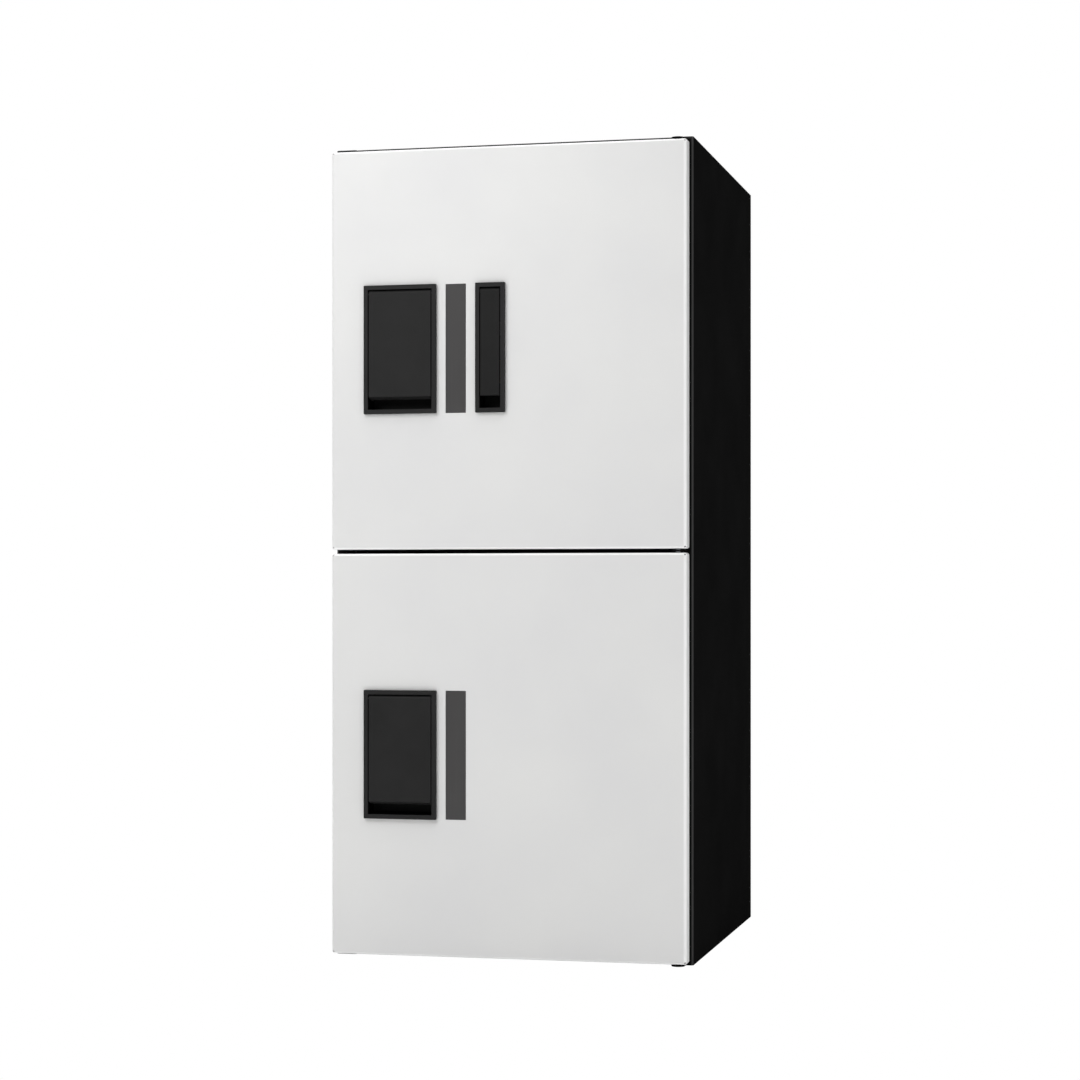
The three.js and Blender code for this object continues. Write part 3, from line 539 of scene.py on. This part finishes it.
# %% A folded sheet
CASE_SHEET = 1.5
CASE_BEND = 3.2  # outer radius of a fold
CASE_LIP = 24  # how far the lip reaches back from the front of the case
CUT_EDGE = 0.35  # rounding of a sheet's cut edges


def with_stops(line, stops, axis):
    """A line with an extra point wherever it crosses one of the `stops` along an axis."""
    points = [line[0]]
    for start, end in zip(line[:-1], line[1:]):
        rise = end[axis] - start[axis]
        shares = sorted((stop - start[axis]) / rise for stop in stops) if abs(rise) > 1e-9 else []
        points += [start + (end - start) * share for share in shares if 1e-6 < share < 1 - 1e-6]
        points.append(end)
    return np.array(points)


def folded(line, stations, axis, holes=(), narrow=None):
    """A line of (a, b) carried along an axis to each of the stations. `holes` are boxes (low,
    high), and a cell is left out when its middle lies in one. `narrow` is such a test too, as a
    function of the cells' middles."""
    stations = np.asarray(sorted(set(stations)), float)
    a, b = line.T
    points = placed(a, b, stations[:, None], (0, 0), axis)
    grid = points.reshape(len(stations), len(line), 3)
    middle = (grid[:-1, :-1] + grid[1:, 1:]) / 2
    keep = np.ones(middle.shape[:2], bool)
    for low, high in holes:
        keep &= ~np.all((middle > np.array(low)) & (middle < np.array(high)), axis=-1)
    if narrow is not None:
        keep &= ~narrow(middle)
    return points, grid_faces(len(stations), len(line), keep=keep).tolist()


# %% [markdown]
# The side on the hinge side has three slots in its flange, which the hinge brackets' tongues come
# through. The side on the latch side has a hole in its lip for each lock bolt.

# %% The sides of the case
def side_of_case(node, sign, holes, stops_x, stops_z):
    """Outer wall, flange and lip. All radii and places are those of the sheet's outer face."""
    low, high = span(node)
    wall, lip = (low[0], high[0]) if sign < 0 else (high[0], low[0])
    front, back = low[1], high[1]
    corners = [(wall, back), (wall, front), (lip, front), (lip, front + CASE_LIP)]
    line = with_stops(fillet(corners, [0, CASE_BEND, CASE_BEND, 0], 6), stops_x, 0)
    line = with_stops(line, [hole[end][1] for hole in holes for end in (0, 1)], 1)
    stations = [low[2], high[2] - CASE_BEND, high[2], *stops_z]
    shape = folded(line, stations, "z", holes)
    # Points on the folds, and the top end of the flange, are marked "edge", which the black coat paints
    # grey: a painted highlight.
    planes = [(axis, value, CASE_BEND) for axis, value in ((0, wall), (1, front), (0, lip))]
    folds = edge_marks(shape[0], planes)
    end_of_flange = (shape[0][:, 1] < front + NEAR) & (shape[0][:, 2] > high[2] - NEAR)
    marks = {"edge": np.where(end_of_flange, 1, folds)}
    facing = (sign, 0, 0)
    piece(
        f"{node}_sheet", shape, CASE_BLACK, "case", [node],
        facing, CASE_SHEET, CUT_EDGE, marks,
    )


SLIP = 0.4  # round a part that slides
GAP = 0.3  # between parts that touch
TONGUE = 2.0  # thickness of a hinge bracket's tongue
THROUGH = 5  # how far a hole's box reaches in front of the sheet and behind it


def tongue_bottom(place):
    """The height of a tongue's lower face. A pin ends level with its tongue, and the middle one
    stands out on both sides of it by the same length."""
    low, high = span(f"{place}_hinge_pin")
    return {"top": high[2] - TONGUE, "middle": (low[2] + high[2] - TONGUE) / 2, "bottom": low[2]}[place]


bolt_holes = []
for door in ("upper", "lower"):
    bolt_low, bolt_high = span(f"{door}_lock_bolt")
    lip_x = span("left_side_panel")[1][0]
    hole_low = (lip_x - THROUGH, bolt_low[1] - SLIP, bolt_low[2] - SLIP)
    hole_high = (lip_x + THROUGH, bolt_high[1] + SLIP, bolt_high[2] + SLIP)
    bolt_holes.append((hole_low, hole_high))

tongue_slots = []
for place in ("top", "middle", "bottom"):
    low, high = span(f"{place}_hinge_bracket")
    bottom = tongue_bottom(place)
    flange_y = span("right_side_panel")[0][1]
    slot_low = (low[0] - GAP, flange_y - THROUGH, bottom - GAP)
    slot_high = (high[0] + GAP, flange_y + THROUGH, bottom + TONGUE + GAP)
    tongue_slots.append((slot_low, slot_high))

side_of_case("left_side_panel", -1, bolt_holes, [], [h[end][2] for h in bolt_holes for end in (0, 1)])
side_of_case(
    "right_side_panel", 1, tongue_slots,
    [s[end][0] for s in tongue_slots[:1] for end in (0, 1)],
    [s[end][2] for s in tongue_slots for end in (0, 1)],
)

# %% [markdown]
# The top and the shelf are folded the same way, but across the locker. Their flange and lip have
# to fit between the lips of the sides, so the sheet is notched there, and only the plate behind
# is full width.

# %% The top and the shelf
def cross_sheet(node, plate_z, lip_z, wide_from):
    """Plate, flange and lip, carried across the case and notched beside the flange."""
    low, high = span(node)
    front, back = low[1], high[1]
    mouth = span("left_side_panel")[1][0] + GAP
    corners = [(back, plate_z), (front, plate_z), (front, lip_z), (front + CASE_LIP, lip_z)]
    line = with_stops(fillet(corners, [0, CASE_BEND, CASE_BEND, 0], 6), [wide_from], 0)
    outer = [low[0], mouth, -mouth, high[0]]

    def notch(middle):
        return (np.abs(middle[..., 0]) > -mouth) & (middle[..., 1] < wide_from)

    shape = folded(line, outer, "x", narrow=notch)
    # Points on the folds are marked "edge", which the black coat paints grey: a painted highlight.
    planes = [(axis, value, CASE_BEND) for axis, value in ((2, plate_z), (1, front), (2, lip_z))]
    marks = {"edge": edge_marks(shape[0], planes)}
    up = (0, 0, np.sign(plate_z - lip_z))
    piece(
        f"{node}_sheet", shape, CASE_BLACK, "case", [node],
        up, CASE_SHEET, CUT_EDGE, marks,
    )


flange_front = span("top_panel")[0][1]
for node, notch_depth in (("top_panel", 4.2), ("middle_shelf", 24.5)):
    low, high = span(node)
    cross_sheet(node, high[2], low[2], flange_front + notch_depth)

# %% [markdown]
# The bottom, the back and the loose floor tray already have the right shape, so the engineering
# model's own parts stay, and only take the coat.

# %% Case parts that stay
def finish_node(node, material):
    """Gives a node of the engineering model its finish."""
    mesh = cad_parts[node].data
    mesh.materials.clear()
    mesh.materials.append(material)


for node in ("bottom_panel", "back_panel", "floor_tray"):
    finish_node(node, CASE_BLACK)

# %% [markdown]
# ## Hinges
#
# A hinge here is a bracket behind the case's flange with a flat tongue that reaches out over the
# end of the door, and a pin through the tongue into a nylon bush in the door. The tongue is a
# stamping: flat, with one round end. It is a slab whose outline is a rectangle that ends in a
# half circle. It has no hole here, and the pin runs through it.

# %% Brackets, pins and bushes
BUSH_BORE = 3.15  # radius


def middle_of(low, high):
    """Where an upright part's middle line lies."""
    return (low[0] + high[0]) / 2, (low[1] + high[1]) / 2


def hinge_bracket(place):
    """A flat tongue and an upright leg. The tongue starts as a stadium, and its points behind the
    middle are pushed out to the full half width, which leaves only the front end round."""
    node = f"{place}_hinge_bracket"
    low, high = span(node)
    pin_x = middle_of(*span(f"{place}_hinge_pin"))[0]
    bottom = tongue_bottom(place)
    half = (high[0] - low[0]) / 2
    length = (high[1] - low[1]) / 2
    top = bottom + TONGUE
    profile = fillet([(1, bottom), (0, bottom), (0, top), (1, top)], [0, 0.3, 0.3, 0], 2)
    tongue = carried(profile, half, length, half - 0.1, (pin_x, low[1] + length), "z", steps=10)
    points = tongue[0]
    square = points[:, 1] > low[1] + length
    points[square, 0] = pin_x + np.clip((points[square, 0] - pin_x) * 3, -half, half)
    leg = slab((low[0], high[1] - 2, low[2]), (high[0], high[1], high[2]), "y", 1.5, 0.3)
    piece(f"{place}_hinge_tongue", joined((points, tongue[1]), leg), CASE_BLACK, "case", [node])


def hinge_pin(place):
    """A turned rod whose ends rise by the height of a hammered head towards the axis."""
    low, high = span(f"{place}_hinge_pin")
    radius = (high[0] - low[0]) / 2
    riveted = 0.3  # how far a pin's hammered end stands out of its tongue
    ends = [(0, low[2] - riveted), (radius, low[2]), (radius, high[2]), (0, high[2] + riveted)]
    profile = fillet(ends, [0, 0.6, 0.6, 0], 4)
    shape = turned(profile, middle_of(low, high), "z")
    piece(f"{place}_pin_turned", shape, GROUND, "case", [f"{place}_hinge_pin"])


def hinge_bush(door, end):
    """A turned tube with a flange: the section is the bore, the face, the body and the flange, in
    one closed line."""
    node = f"{door}_hinge_bush_{end}"
    low, high = span(node)
    outward = 1 if end == "top" else -1
    face, tail = (high[2], low[2]) if outward > 0 else (low[2], high[2])
    flange = face - outward * 3.8
    flange_end = flange - outward * 1.5
    flange_radius = (high[0] - low[0]) / 2
    body = flange_radius - 2
    ends = [(BUSH_BORE, tail), (BUSH_BORE, face), (body, face), (body, flange), (flange_radius, flange),
            (flange_radius, flange_end), (body, flange_end), (body, tail), (BUSH_BORE, tail)]
    profile = fillet(ends, [0, 0.4, 0.4, 0, 0.3, 0.3, 0, 0.4, 0], 3)
    shape = turned(profile, middle_of(low, high), "z")
    piece(f"{node}_turned", shape, NYLON, f"{door}_door", [node])


for place in ("top", "middle", "bottom"):
    hinge_bracket(place)
    hinge_pin(place)
for door in ("upper", "lower"):
    hinge_bush(door, "top")
    hinge_bush(door, "bottom")

# %% [markdown]
# ## Doors: shallow trays
#
# A door's white skin is a tray: a flat face whose four edges are folded back 18 mm, with the
# corners welded and ground round. Its outer surface is made in two parts. The face is a grid with
# cells left out for the recesses and the window. The rim starts at the face's edge and is carried
# round it: a quarter circle, and then the straight return. At a corner, the same rim turns
# through a quarter circle about the face's corner. The weld leaves a pinhole at the tip of each
# corner, where the first rows of the rim's cells are left out.

# %% A tray
PINHOLE_ROWS = 4  # rows of the bend's cells that a corner pinhole takes


def tray(low, high, face_y, rim_y, edge, holes=(), pinholes=False, stops=(), steps=6):
    """Face grid, and a rim of (outward, depth) points: edge * sin t out and edge * (1 - cos t) deep
    for t from 0 to a right angle, and then down to the rim. `holes` are (x0, x1, z0, z1), and
    `stops` are further x values for grid lines."""
    deeper = np.sign(rim_y - face_y)
    x0, x1, z0, z1 = low[0] + edge, high[0] - edge, low[2] + edge, high[2] - edge
    xs = np.array(sorted({x0, x1, *stops, *(value for hole in holes for value in hole[:2])}))
    zs = np.array(sorted({z0, z1, *(value for hole in holes for value in hole[2:])}))
    grid_x, grid_z = np.meshgrid(xs, zs)
    face_points = np.stack([grid_x, np.full_like(grid_x, face_y), grid_z], -1).reshape(-1, 3)
    middle_x, middle_z = np.meshgrid((xs[:-1] + xs[1:]) / 2, (zs[:-1] + zs[1:]) / 2)
    keep = np.ones(middle_x.shape, bool)
    for hole in holes:
        keep &= ~((middle_x > hole[0]) & (middle_x < hole[1]) & (middle_z > hole[2]) & (middle_z < hole[3]))
    face = face_points, grid_faces(len(zs), len(xs), keep=keep).tolist()

    sides = [(xs, z0, 0, -1), (zs, x1, 1, 0), (xs[::-1], z1, 0, 1), (zs[::-1], x0, -1, 0)]
    base, out, at_corner = [], [], []
    for values, fixed, nx, nz in sides:
        along = np.stack([values, np.full_like(values, fixed)], -1)
        base.append(along if nx == 0 else along[:, ::-1])
        out.append(np.tile([nx, nz], (len(values), 1)))
        at_corner.append(np.zeros(len(values), bool))
        turn = math.atan2(nz, nx) + np.linspace(0, np.pi / 2, steps + 1)[1:-1]
        base.append(np.tile(base[-1][-1], (len(turn), 1)))
        out.append(np.stack([np.cos(turn), np.sin(turn)], -1))
        at_corner.append(np.ones(len(turn), bool))
    base, out, at_corner = np.vstack(base), np.vstack(out), np.concatenate(at_corner)
    bend = np.linspace(0, np.pi / 2, steps + 1)
    outward = np.append(edge * np.sin(bend), edge)[:, None, None]
    depth = face_y + deeper * np.append(edge * (1 - np.cos(bend)), abs(rim_y - face_y))[:, None]
    flat = base + outward * out
    depth = np.broadcast_to(depth, flat.shape[:2])
    rim_points = np.stack([flat[..., 0], depth, flat[..., 1]], -1).reshape(-1, 3)
    rim_keep = np.ones((len(bend), len(base)), bool)
    if pinholes:
        rim_keep[:PINHOLE_ROWS] &= ~(at_corner | np.roll(at_corner, -1))
    rim = rim_points, grid_faces(len(bend) + 1, len(base), keep=rim_keep, closed=True).tolist()
    return joined(face, rim)


# %% [markdown]
# The skin's holes are for the recesses, which are plastic cups pushed in from the front, and for
# the window. The inner panel is a second, black tray that closes the door from behind. It fits
# inside the skin with its face to the parcels. Real trays also have holes for the hinge bushes at
# both ends, and the upper panel has one for the key switch. These simpler trays have none, so the
# bushes, the pins and the key switch run through the sheet.
#
# The folds of the hinge side, the top and the bottom are marked for a painted highlight, a brighter
# white. The latch side's fold is left plain. On the hinge side the painted highlight also reaches a
# little way onto the face.

# %% Skins and inner panels
SKIN_SHEET = 1.2
SKIN_EDGE = 3.0
SKIN_HIGHLIGHT_STRIP = 1.5  # how far the painted highlight of the hinge side's fold reaches onto the face
RECESS_OVERLAP = 3.4  # of a bezel over the edge of its hole
WINDOW_REBATE = 2.5  # of the window's flange round its pane


def hole_inside(low, high, inset):
    """A hole (x0, x1, z0, z1) that is smaller than a box by the inset on every side."""
    return low[0] + inset, high[0] - inset, low[2] + inset, high[2] - inset


def recess_nodes(door):
    """The recesses in a door: the handle's, and on the upper door the service one too."""
    return [f"{door}_handle_housing"] + (["service_housing"] if door == "upper" else [])


def skin_holes(door):
    """The holes that a skin needs, from the parts that sit in them."""
    holes = []
    for node in recess_nodes(door):
        low, high = span(node)
        holes.append(hole_inside(low, high, RECESS_OVERLAP))
    low, high = span(f"{door}_status_window")
    holes.append(hole_inside(low, high, WINDOW_REBATE - GAP))
    return holes


for door in ("upper", "lower"):
    low, high = span(f"{door}_door_skin")
    reach = SKIN_EDGE + SKIN_HIGHLIGHT_STRIP
    shape = tray(low, high, low[1], high[1], SKIN_EDGE, skin_holes(door), True, [high[0] - reach])
    node = f"{door}_door_skin"
    # The folds of the hinge side, the top and the bottom, and a strip of the face beside the hinge side's
    # fold, are marked "edge", which the white coat paints brighter: a painted highlight.
    planes = [(0, high[0], reach), (1, low[1], SKIN_EDGE), (2, low[2], SKIN_EDGE), (2, high[2], SKIN_EDGE)]
    on_bend = shape[0][:, 1] < low[1] + SKIN_EDGE - NEAR
    rim = {"edge": np.where(on_bend, edge_marks(shape[0], planes), 0)}
    facing = (0, -1, 0)
    piece(
        f"{door}_skin_folded", shape, WHITE, f"{door}_door", [node],
        facing, SKIN_SHEET, 0.25, rim,
    )
    low, high = span(f"{door}_inner_panel")
    shape = tray(low, high, high[1], low[1], 2.0)
    node = f"{door}_inner_panel"
    piece(
        f"{door}_pan_folded", shape, PAN_BLACK, f"{door}_door", [node],
        (0, 1, 0), 1.0, 0.25,
    )

# %% [markdown]
# ## Recesses
#
# A recess is one moulding: a bezel that stands proud of the door, a flat rim, and a cup behind it
# that the fingers reach into. All of that is one section, carried round a rounded rectangle. The
# section starts behind the cup's floor, goes forward outside the cup, round the bezel, and back
# along the inside to the floor. The inside is painted near black, a painted shade, so that nothing
# shines out from behind the paddle. The cup has no holes here for the pins or the key switch,
# which run through its wall and floor.

# %% Bezels with their cups
BEZEL_PROUD = 5.0
BEZEL_RIM = 5.4
CUP_WALL = 2.2
PAINTED_SHADE_FROM = 5  # how far behind the bezel's front the painted shade starts


def recess(node, door):
    """Bezel and cup as one section of (inset, depth), carried round the bezel's outline."""
    low, high, centre, half_x, half_z = front_outline(node)
    front, back = low[1], high[1]
    skin = front + BEZEL_PROUD - GAP
    outside = BEZEL_RIM - CUP_WALL
    floor = back - CUP_WALL
    shade_from = front + PAINTED_SHADE_FROM
    corners = [(outside + 2, back), (outside, back), (outside, skin), (0, skin), (0, front),
               (BEZEL_RIM, front), (BEZEL_RIM, shade_from), (BEZEL_RIM, floor), (BEZEL_RIM + 4, floor)]
    profile = fillet(corners, [0, 0.8, 0.2, 0.25, 0.7, 0.35, 0, 2.0, 0], 4)
    shape = carried(profile, half_x, half_z, 1.0, centre, "y", steps=4)
    # The cup's inside, from a little behind the bezel's front to its floor, is marked to be coloured near
    # black: painted shade.
    inside = (profile[:, 0] > BEZEL_RIM - NEAR) & (profile[:, 1] >= shade_from - NEAR)
    marks = {"recess_shade": np.repeat(inside, len(shape[0]) // len(profile))}
    piece(f"{node}_moulded", shape, HANDLE_ABS, f"{door}_door", [node], marks=marks)


for door in ("upper", "lower"):
    for node in recess_nodes(door):
        recess(node, door)

# %% [markdown]
# ## Paddle and flap
#
# Both are flat plates that hang from a barrel. The paddle's foot is folded back and down as a lip
# for the fingers. The section is an arc for the barrel, and a filleted line for the plate and the
# lip. It is carried sideways, and at each end it shrinks along its own normals by a quarter
# circle, so the ends are round too. The barrel is solid, and the pin runs through it.

# %% A section carried sideways
def normals_of(section):
    """Outward normals of a closed line that runs clockwise in (y, z), as the mean of its two sides'
    normals."""
    step = np.roll(section, -1, 0) - section
    side = np.stack([-step[:, 1], step[:, 0]], -1)
    side /= np.linalg.norm(side, axis=1, keepdims=True)
    mean = side + np.roll(side, 1, 0)
    return mean / np.linalg.norm(mean, axis=1, keepdims=True)


def extruded(section, x0, x1, edge, steps=4):
    """The section at each x, shrunk near both ends by edge * (1 - sin t) as x goes in by edge * (1
    - cos t)."""
    turn = np.linspace(0, np.pi / 2, steps + 1)
    inward = edge * (1 - np.cos(turn))
    shrink = edge * (1 - np.sin(turn))
    xs = np.concatenate([x0 + inward, (x1 - inward)[::-1]])
    shrunk = np.concatenate([shrink, shrink[::-1]])
    outline = section[None] - shrunk[:, None, None] * normals_of(section)[None]
    rows, columns = outline.shape[:2]
    sideways = np.broadcast_to(xs[:, None, None], (rows, columns, 1))
    points = np.concatenate([sideways, outline], -1).reshape(-1, 3)
    return points, grid_faces(rows, columns, closed=True).tolist() + end_caps(rows, columns)


def without_repeats(line):
    """A closed line with no two neighbours in the same place."""
    apart = np.linalg.norm(line - np.roll(line, 1, 0), axis=1) > 1e-4
    return line[apart]


BARREL = 4.0  # radius
PLATE = 3.0  # thickness
LEAF_EDGE = 0.7  # rounding of the paddle's and the flap's ends
LIP = 2.6  # thickness of the paddle's lip


def barrel_arc(front, pivot_z):
    """The barrel's outside, from the plate's front face over the top to the plate's back face."""
    end = -math.pi + math.acos((BARREL - PLATE) / BARREL)
    angle = np.linspace(math.pi, end, 18)
    return np.stack([front + BARREL + BARREL * np.cos(angle), pivot_z + BARREL * np.sin(angle)], -1)


def paddle_piece(door):
    """The barrel's arc, and then the plate's back, the lip and the plate's front as one filleted
    line."""
    node = f"{door}_handle_paddle"
    low, high = span(node)
    front, foot, reach = low[1], low[2], high[1] - low[1]
    arc = barrel_arc(front, high[2] - BARREL)
    drop = 3.6
    corners = [(front + PLATE, foot + drop + LIP), (front + reach, foot + LIP), (front + reach, foot),
               (front, foot + drop), (front, foot + 3 * drop)]
    lip = fillet(corners, [1.5, 0.8, 0.8, 0.35, 0], 4)
    section = without_repeats(np.vstack([arc, lip]))
    shape = extruded(section, low[0], high[0], LEAF_EDGE)
    piece(f"{door}_paddle_moulded", shape, PADDLE_ABS, node, [node])


def flap_piece():
    """The barrel's arc, and a plate that ends in a plain round foot."""
    low, high = span("service_flap")
    front, foot = low[1], low[2]
    arc = barrel_arc(front, high[2] - BARREL)
    foot_line = fillet([(front + PLATE, foot), (front, foot), (front, foot + 9)], [0.7, 0.7, 0], 4)
    section = without_repeats(np.vstack([arc, foot_line]))
    shape = extruded(section, low[0], high[0], LEAF_EDGE)
    piece("service_flap_moulded", shape, FLAP_ABS, "service_flap", ["service_flap"])


paddle_piece("upper")
paddle_piece("lower")
flap_piece()

# %% [markdown]
# ## Window
#
# The strip beside the handle is a clear plate printed from behind. Its pane fills the hole in the
# skin, level with it, and a wider flange behind holds it in place. Both are one stepped section
# round a rounded rectangle.

# %% Status windows
for door in ("upper", "lower"):
    node = f"{door}_status_window"
    low, high, centre, half_x, half_z = front_outline(node)
    flange_front = high[1] - 1.5
    corners = [(2, high[1]), (0, high[1]), (0, flange_front), (WINDOW_REBATE, flange_front),
               (WINDOW_REBATE, low[1]), (WINDOW_REBATE + 3, low[1])]
    profile = fillet(corners, [0, 0.2, 0.2, 0.2, 0.5, 0], 4)
    shape = carried(profile, half_x, half_z, WINDOW_REBATE + 0.6, centre, "y")
    piece(f"{door}_window_pane", shape, ACRYLIC, f"{door}_door", [node])

# %% [markdown]
# ## Seal
#
# A strip of foam rubber is stuck to the inner panel, just inside its edge. Its section is a low
# D: flat where it is glued, and round where it meets the case.

# %% Door seals
for door in ("upper", "lower"):
    node = f"{door}_door_seal"
    low, high, centre, half_x, half_z = front_outline(node)
    width, thick, side, corner = 6.0, high[1] - low[1], 0.4, 14
    arch = np.linspace(0, np.pi, 13)
    inset = width / 2 * (1 - np.cos(arch))
    depth = low[1] + side + (thick - side) * np.sin(arch)
    profile = np.vstack([[(0, low[1])], np.stack([inset, depth], -1), [(width, low[1])], [(0, low[1])]])
    shape = carried(profile, half_x, half_z, corner, centre, "y", (False, False), 8)
    piece(f"{door}_seal_strip", shape, SEAL, f"{door}_door", [node])

# %% [markdown]
# ## Mechanism cover
#
# Behind each handle, a moulded cover hides the lock, its motor and the cells. It is a deep tray
# with generous radii and a hole for the battery lid. The lid has its own rounded outline and a
# shallow finger dish to push it open. The bolt's slot in the cover's side is left out, so the
# bolt runs through the wall.

# %% Covers and lids
def cover(door):
    """A tray that opens towards the door, with a hole for the lid."""
    node = f"{door}_mechanism_cover"
    low, high = span(node)
    lid_low, lid_high = span(f"{door}_battery_lid")
    hole = hole_inside(lid_low, lid_high, -SLIP)
    shape = tray(low, high, high[1], low[1], 4.0, [hole])
    piece(
        f"{door}_cover_moulded", shape, COVER_ABS, f"{door}_door", [node],
        (0, 1, 0), 2.0, 0.3,
    )


def battery_lid(door):
    """A plate whose outer face dips in a round dish: the grid's depth falls by a cosine inside the
    dish's radius."""
    node = f"{door}_battery_lid"
    low, high, centre, half_x, half_z = front_outline(node)
    side_inset, side_depth = [2, 0.4, 0, 0, 0.2, 0.6], [0, 0, 0.4, 1.4, 1.8, 2.0]
    rings = 40
    inset = np.concatenate([side_inset, np.linspace(1.0, half_x - 0.2, rings)])
    depth = np.concatenate([side_depth, np.full(rings, side_depth[-1])]) + low[1]
    a, b = ring(half_x - inset, half_z - inset, np.maximum(2.5 - inset, 0.05), 6)
    above, dish_radius, dish_depth = half_z * 0.45, 11.0, 1.1
    far = np.hypot(a, b - above)
    fall = dish_depth * (1 + np.cos(np.pi * np.clip(far / dish_radius, 0, 1))) / 2
    on_face = np.arange(len(inset))[:, None] >= len(side_inset)
    outer = depth[:, None] - np.where(on_face, fall, 0)
    faces = grid_faces(*a.shape, closed=True).tolist() + end_caps(*a.shape)
    shape = placed(a, b, outer, centre, "y"), faces
    piece(f"{door}_lid_moulded", shape, COVER_ABS, f"{door}_door", [node])


for door in ("upper", "lower"):
    cover(door)
    battery_lid(door)

# %% [markdown]
# ## Lock parts
#
# The bolt, the strike plate and the magnet can be seen with a door open. Only the magnet's holder is
# made anew, as a small block with round edges. The others, and the lock inside its cover, stay as
# the engineering model has them.

# %% Strikes, magnets and hidden parts
for door in ("upper", "lower"):
    low, high = span(f"{door}_catch_magnet")
    magnet = slab(low, high, "y", 1.2, 0.5)
    piece(f"{door}_magnet_block", magnet, HOLDER, "case", [f"{door}_catch_magnet"])
    for part, material in {
        "strike_plate": ZINC,
        "lock_bolt": ZINC,
        "lock_case": ZINC,
        "lock_pinion": BRASS,
        "lock_motor": GROUND,
        "paddle_pin": GROUND,
        "paddle_spring": GROUND,
        "battery_pack": FILM,
        "control_board": MASK,
    }.items():
        finish_node(f"{door}_{part}", material)

# %% [markdown]
# ## Behind the service flap
#
# The key switch is a turned barrel with a plug in it, and the contacts are two brass pads on a
# small block. The plug has to turn with its own body, so it is a separate piece. Its keyway is a
# real slot, so the model's own part stays.

# %% Key switch and contacts
low, high, key_centre, head_radius, _ = front_outline("key_cylinder")
head, tail = low[1], high[1]
body_radius, bore = 8.5, 6.15
shoulder = span("service_housing")[1][1] - CUP_WALL - GAP
ends = [(bore, tail), (bore, head), (head_radius, head), (head_radius, shoulder), (body_radius, shoulder),
        (body_radius, tail), (bore, tail)]
barrel = turned(fillet(ends, [0, 0.3, 1.2, 0.2, 0, 0.4, 0], 4), key_centre, "y", 64)
piece("key_barrel_turned", barrel, ZINC, "upper_door", ["key_cylinder"])
finish_node("key_plug", BRASS)
finish_node("power_contacts", BRASS)
finish_node("service_flap_pin", GROUND)

# %% [markdown]
# ## Studio
#
# The locker stands on a pale floor under soft light. The floor only gives bounce light: the
# camera doesn't see it, and the background is plain white. A large soft box high on the left
# makes the doors brightest at the top left, and how close it is makes them fall off from corner
# to corner. A narrow one on the right lights the hinge side's fold.

# %% Floor and light
def stage_floor():
    """A flat square far larger than the locker, at height 0."""
    material, tree, shader, _ = blank("pale_studio_floor")
    dress(shader, tree, Base_Color=linear("#F7F7F7"), Roughness=0.9, Specular_IOR_Level=0.1)
    side = 12000
    points = np.array([(-side, -side, 0), (side, -side, 0), (side, side, 0), (-side, side, 0)]) * MM
    mesh = bpy.data.meshes.new("floor")
    mesh.from_pydata(points.tolist(), [], [[0, 1, 2, 3]])
    mesh.materials.append(material)
    made = bpy.data.objects.new("floor", mesh)
    bpy.context.collection.objects.link(made)
    made.visible_camera = False


def soft_box(name, place, target, width, height, power):
    """A rectangular lamp that is tilted down by the angle to its target and turned round z towards
    it."""
    data = bpy.data.lights.new(name, "AREA")
    data.shape = "RECTANGLE"
    data.size = width
    data.size_y = height
    data.energy = power
    made = bpy.data.objects.new(name, data)
    bpy.context.collection.objects.link(made)
    made.location = place
    aim = np.array(target) - np.array(place)
    made.rotation_euler = (
        math.acos(-aim[2] / np.linalg.norm(aim)),
        0,
        math.atan2(aim[1], aim[0]) - math.pi / 2,
    )


def sky(overhead, around, seen):
    """A pale surround that is bright overhead: around + (overhead - around) * up^4. What the camera
    itself sees of it is white."""
    world = bpy.data.worlds.new("studio")
    bpy.context.scene.world = world
    world.use_nodes = True
    tree = world.node_tree
    tree.nodes.clear()
    direction = tree.nodes.new("ShaderNodeTexCoord").outputs["Generated"]
    up = add(tree, "ShaderNodeSeparateXYZ", {"Vector": direction}).outputs["Z"]
    fourth = add(tree, "ShaderNodeMath", {0: up, 1: 4}, operation="POWER").outputs["Value"]
    strength = between(tree, fourth, around, overhead)
    light = add(tree, "ShaderNodeBackground", {"Color": linear("#FFFFFF"), "Strength": strength})
    backdrop = add(tree, "ShaderNodeBackground", {"Color": linear("#FFFFFF"), "Strength": seen})
    path = add(tree, "ShaderNodeLightPath").outputs["Is Camera Ray"]
    mixed = add(tree, "ShaderNodeMixShader", {0: path, 1: light.outputs[0], 2: backdrop.outputs[0]})
    add(tree, "ShaderNodeOutputWorld", {"Surface": mixed.outputs[0]})


stage_floor()
sky(overhead=3.1, around=0.05, seen=1.0)
soft_box("key_light", (-0.68, -1.6, 1.5), (-0.08, -0.25, 0.93), width=0.9, height=0.9, power=13.2)
soft_box("edge_light", (2.3, -0.5, 1.1), (0.22, -0.25, 0.7), width=0.16, height=1.4, power=4)

# %% Camera
camera_data = bpy.data.cameras.new("camera")
camera = bpy.data.objects.new("camera", camera_data)
bpy.context.collection.objects.link(camera)
camera.location = (0.7429, -3.2370, 0.4523)
camera.rotation_euler = (math.pi / 2, 0, 0.2303)
camera_data.sensor_width = 36
camera_data.lens = 84.53
camera_data.shift_y = 0.0467
camera_data.clip_end = 100
bpy.context.scene.camera = camera
bpy.context.scene.view_settings.view_transform = "Standard"
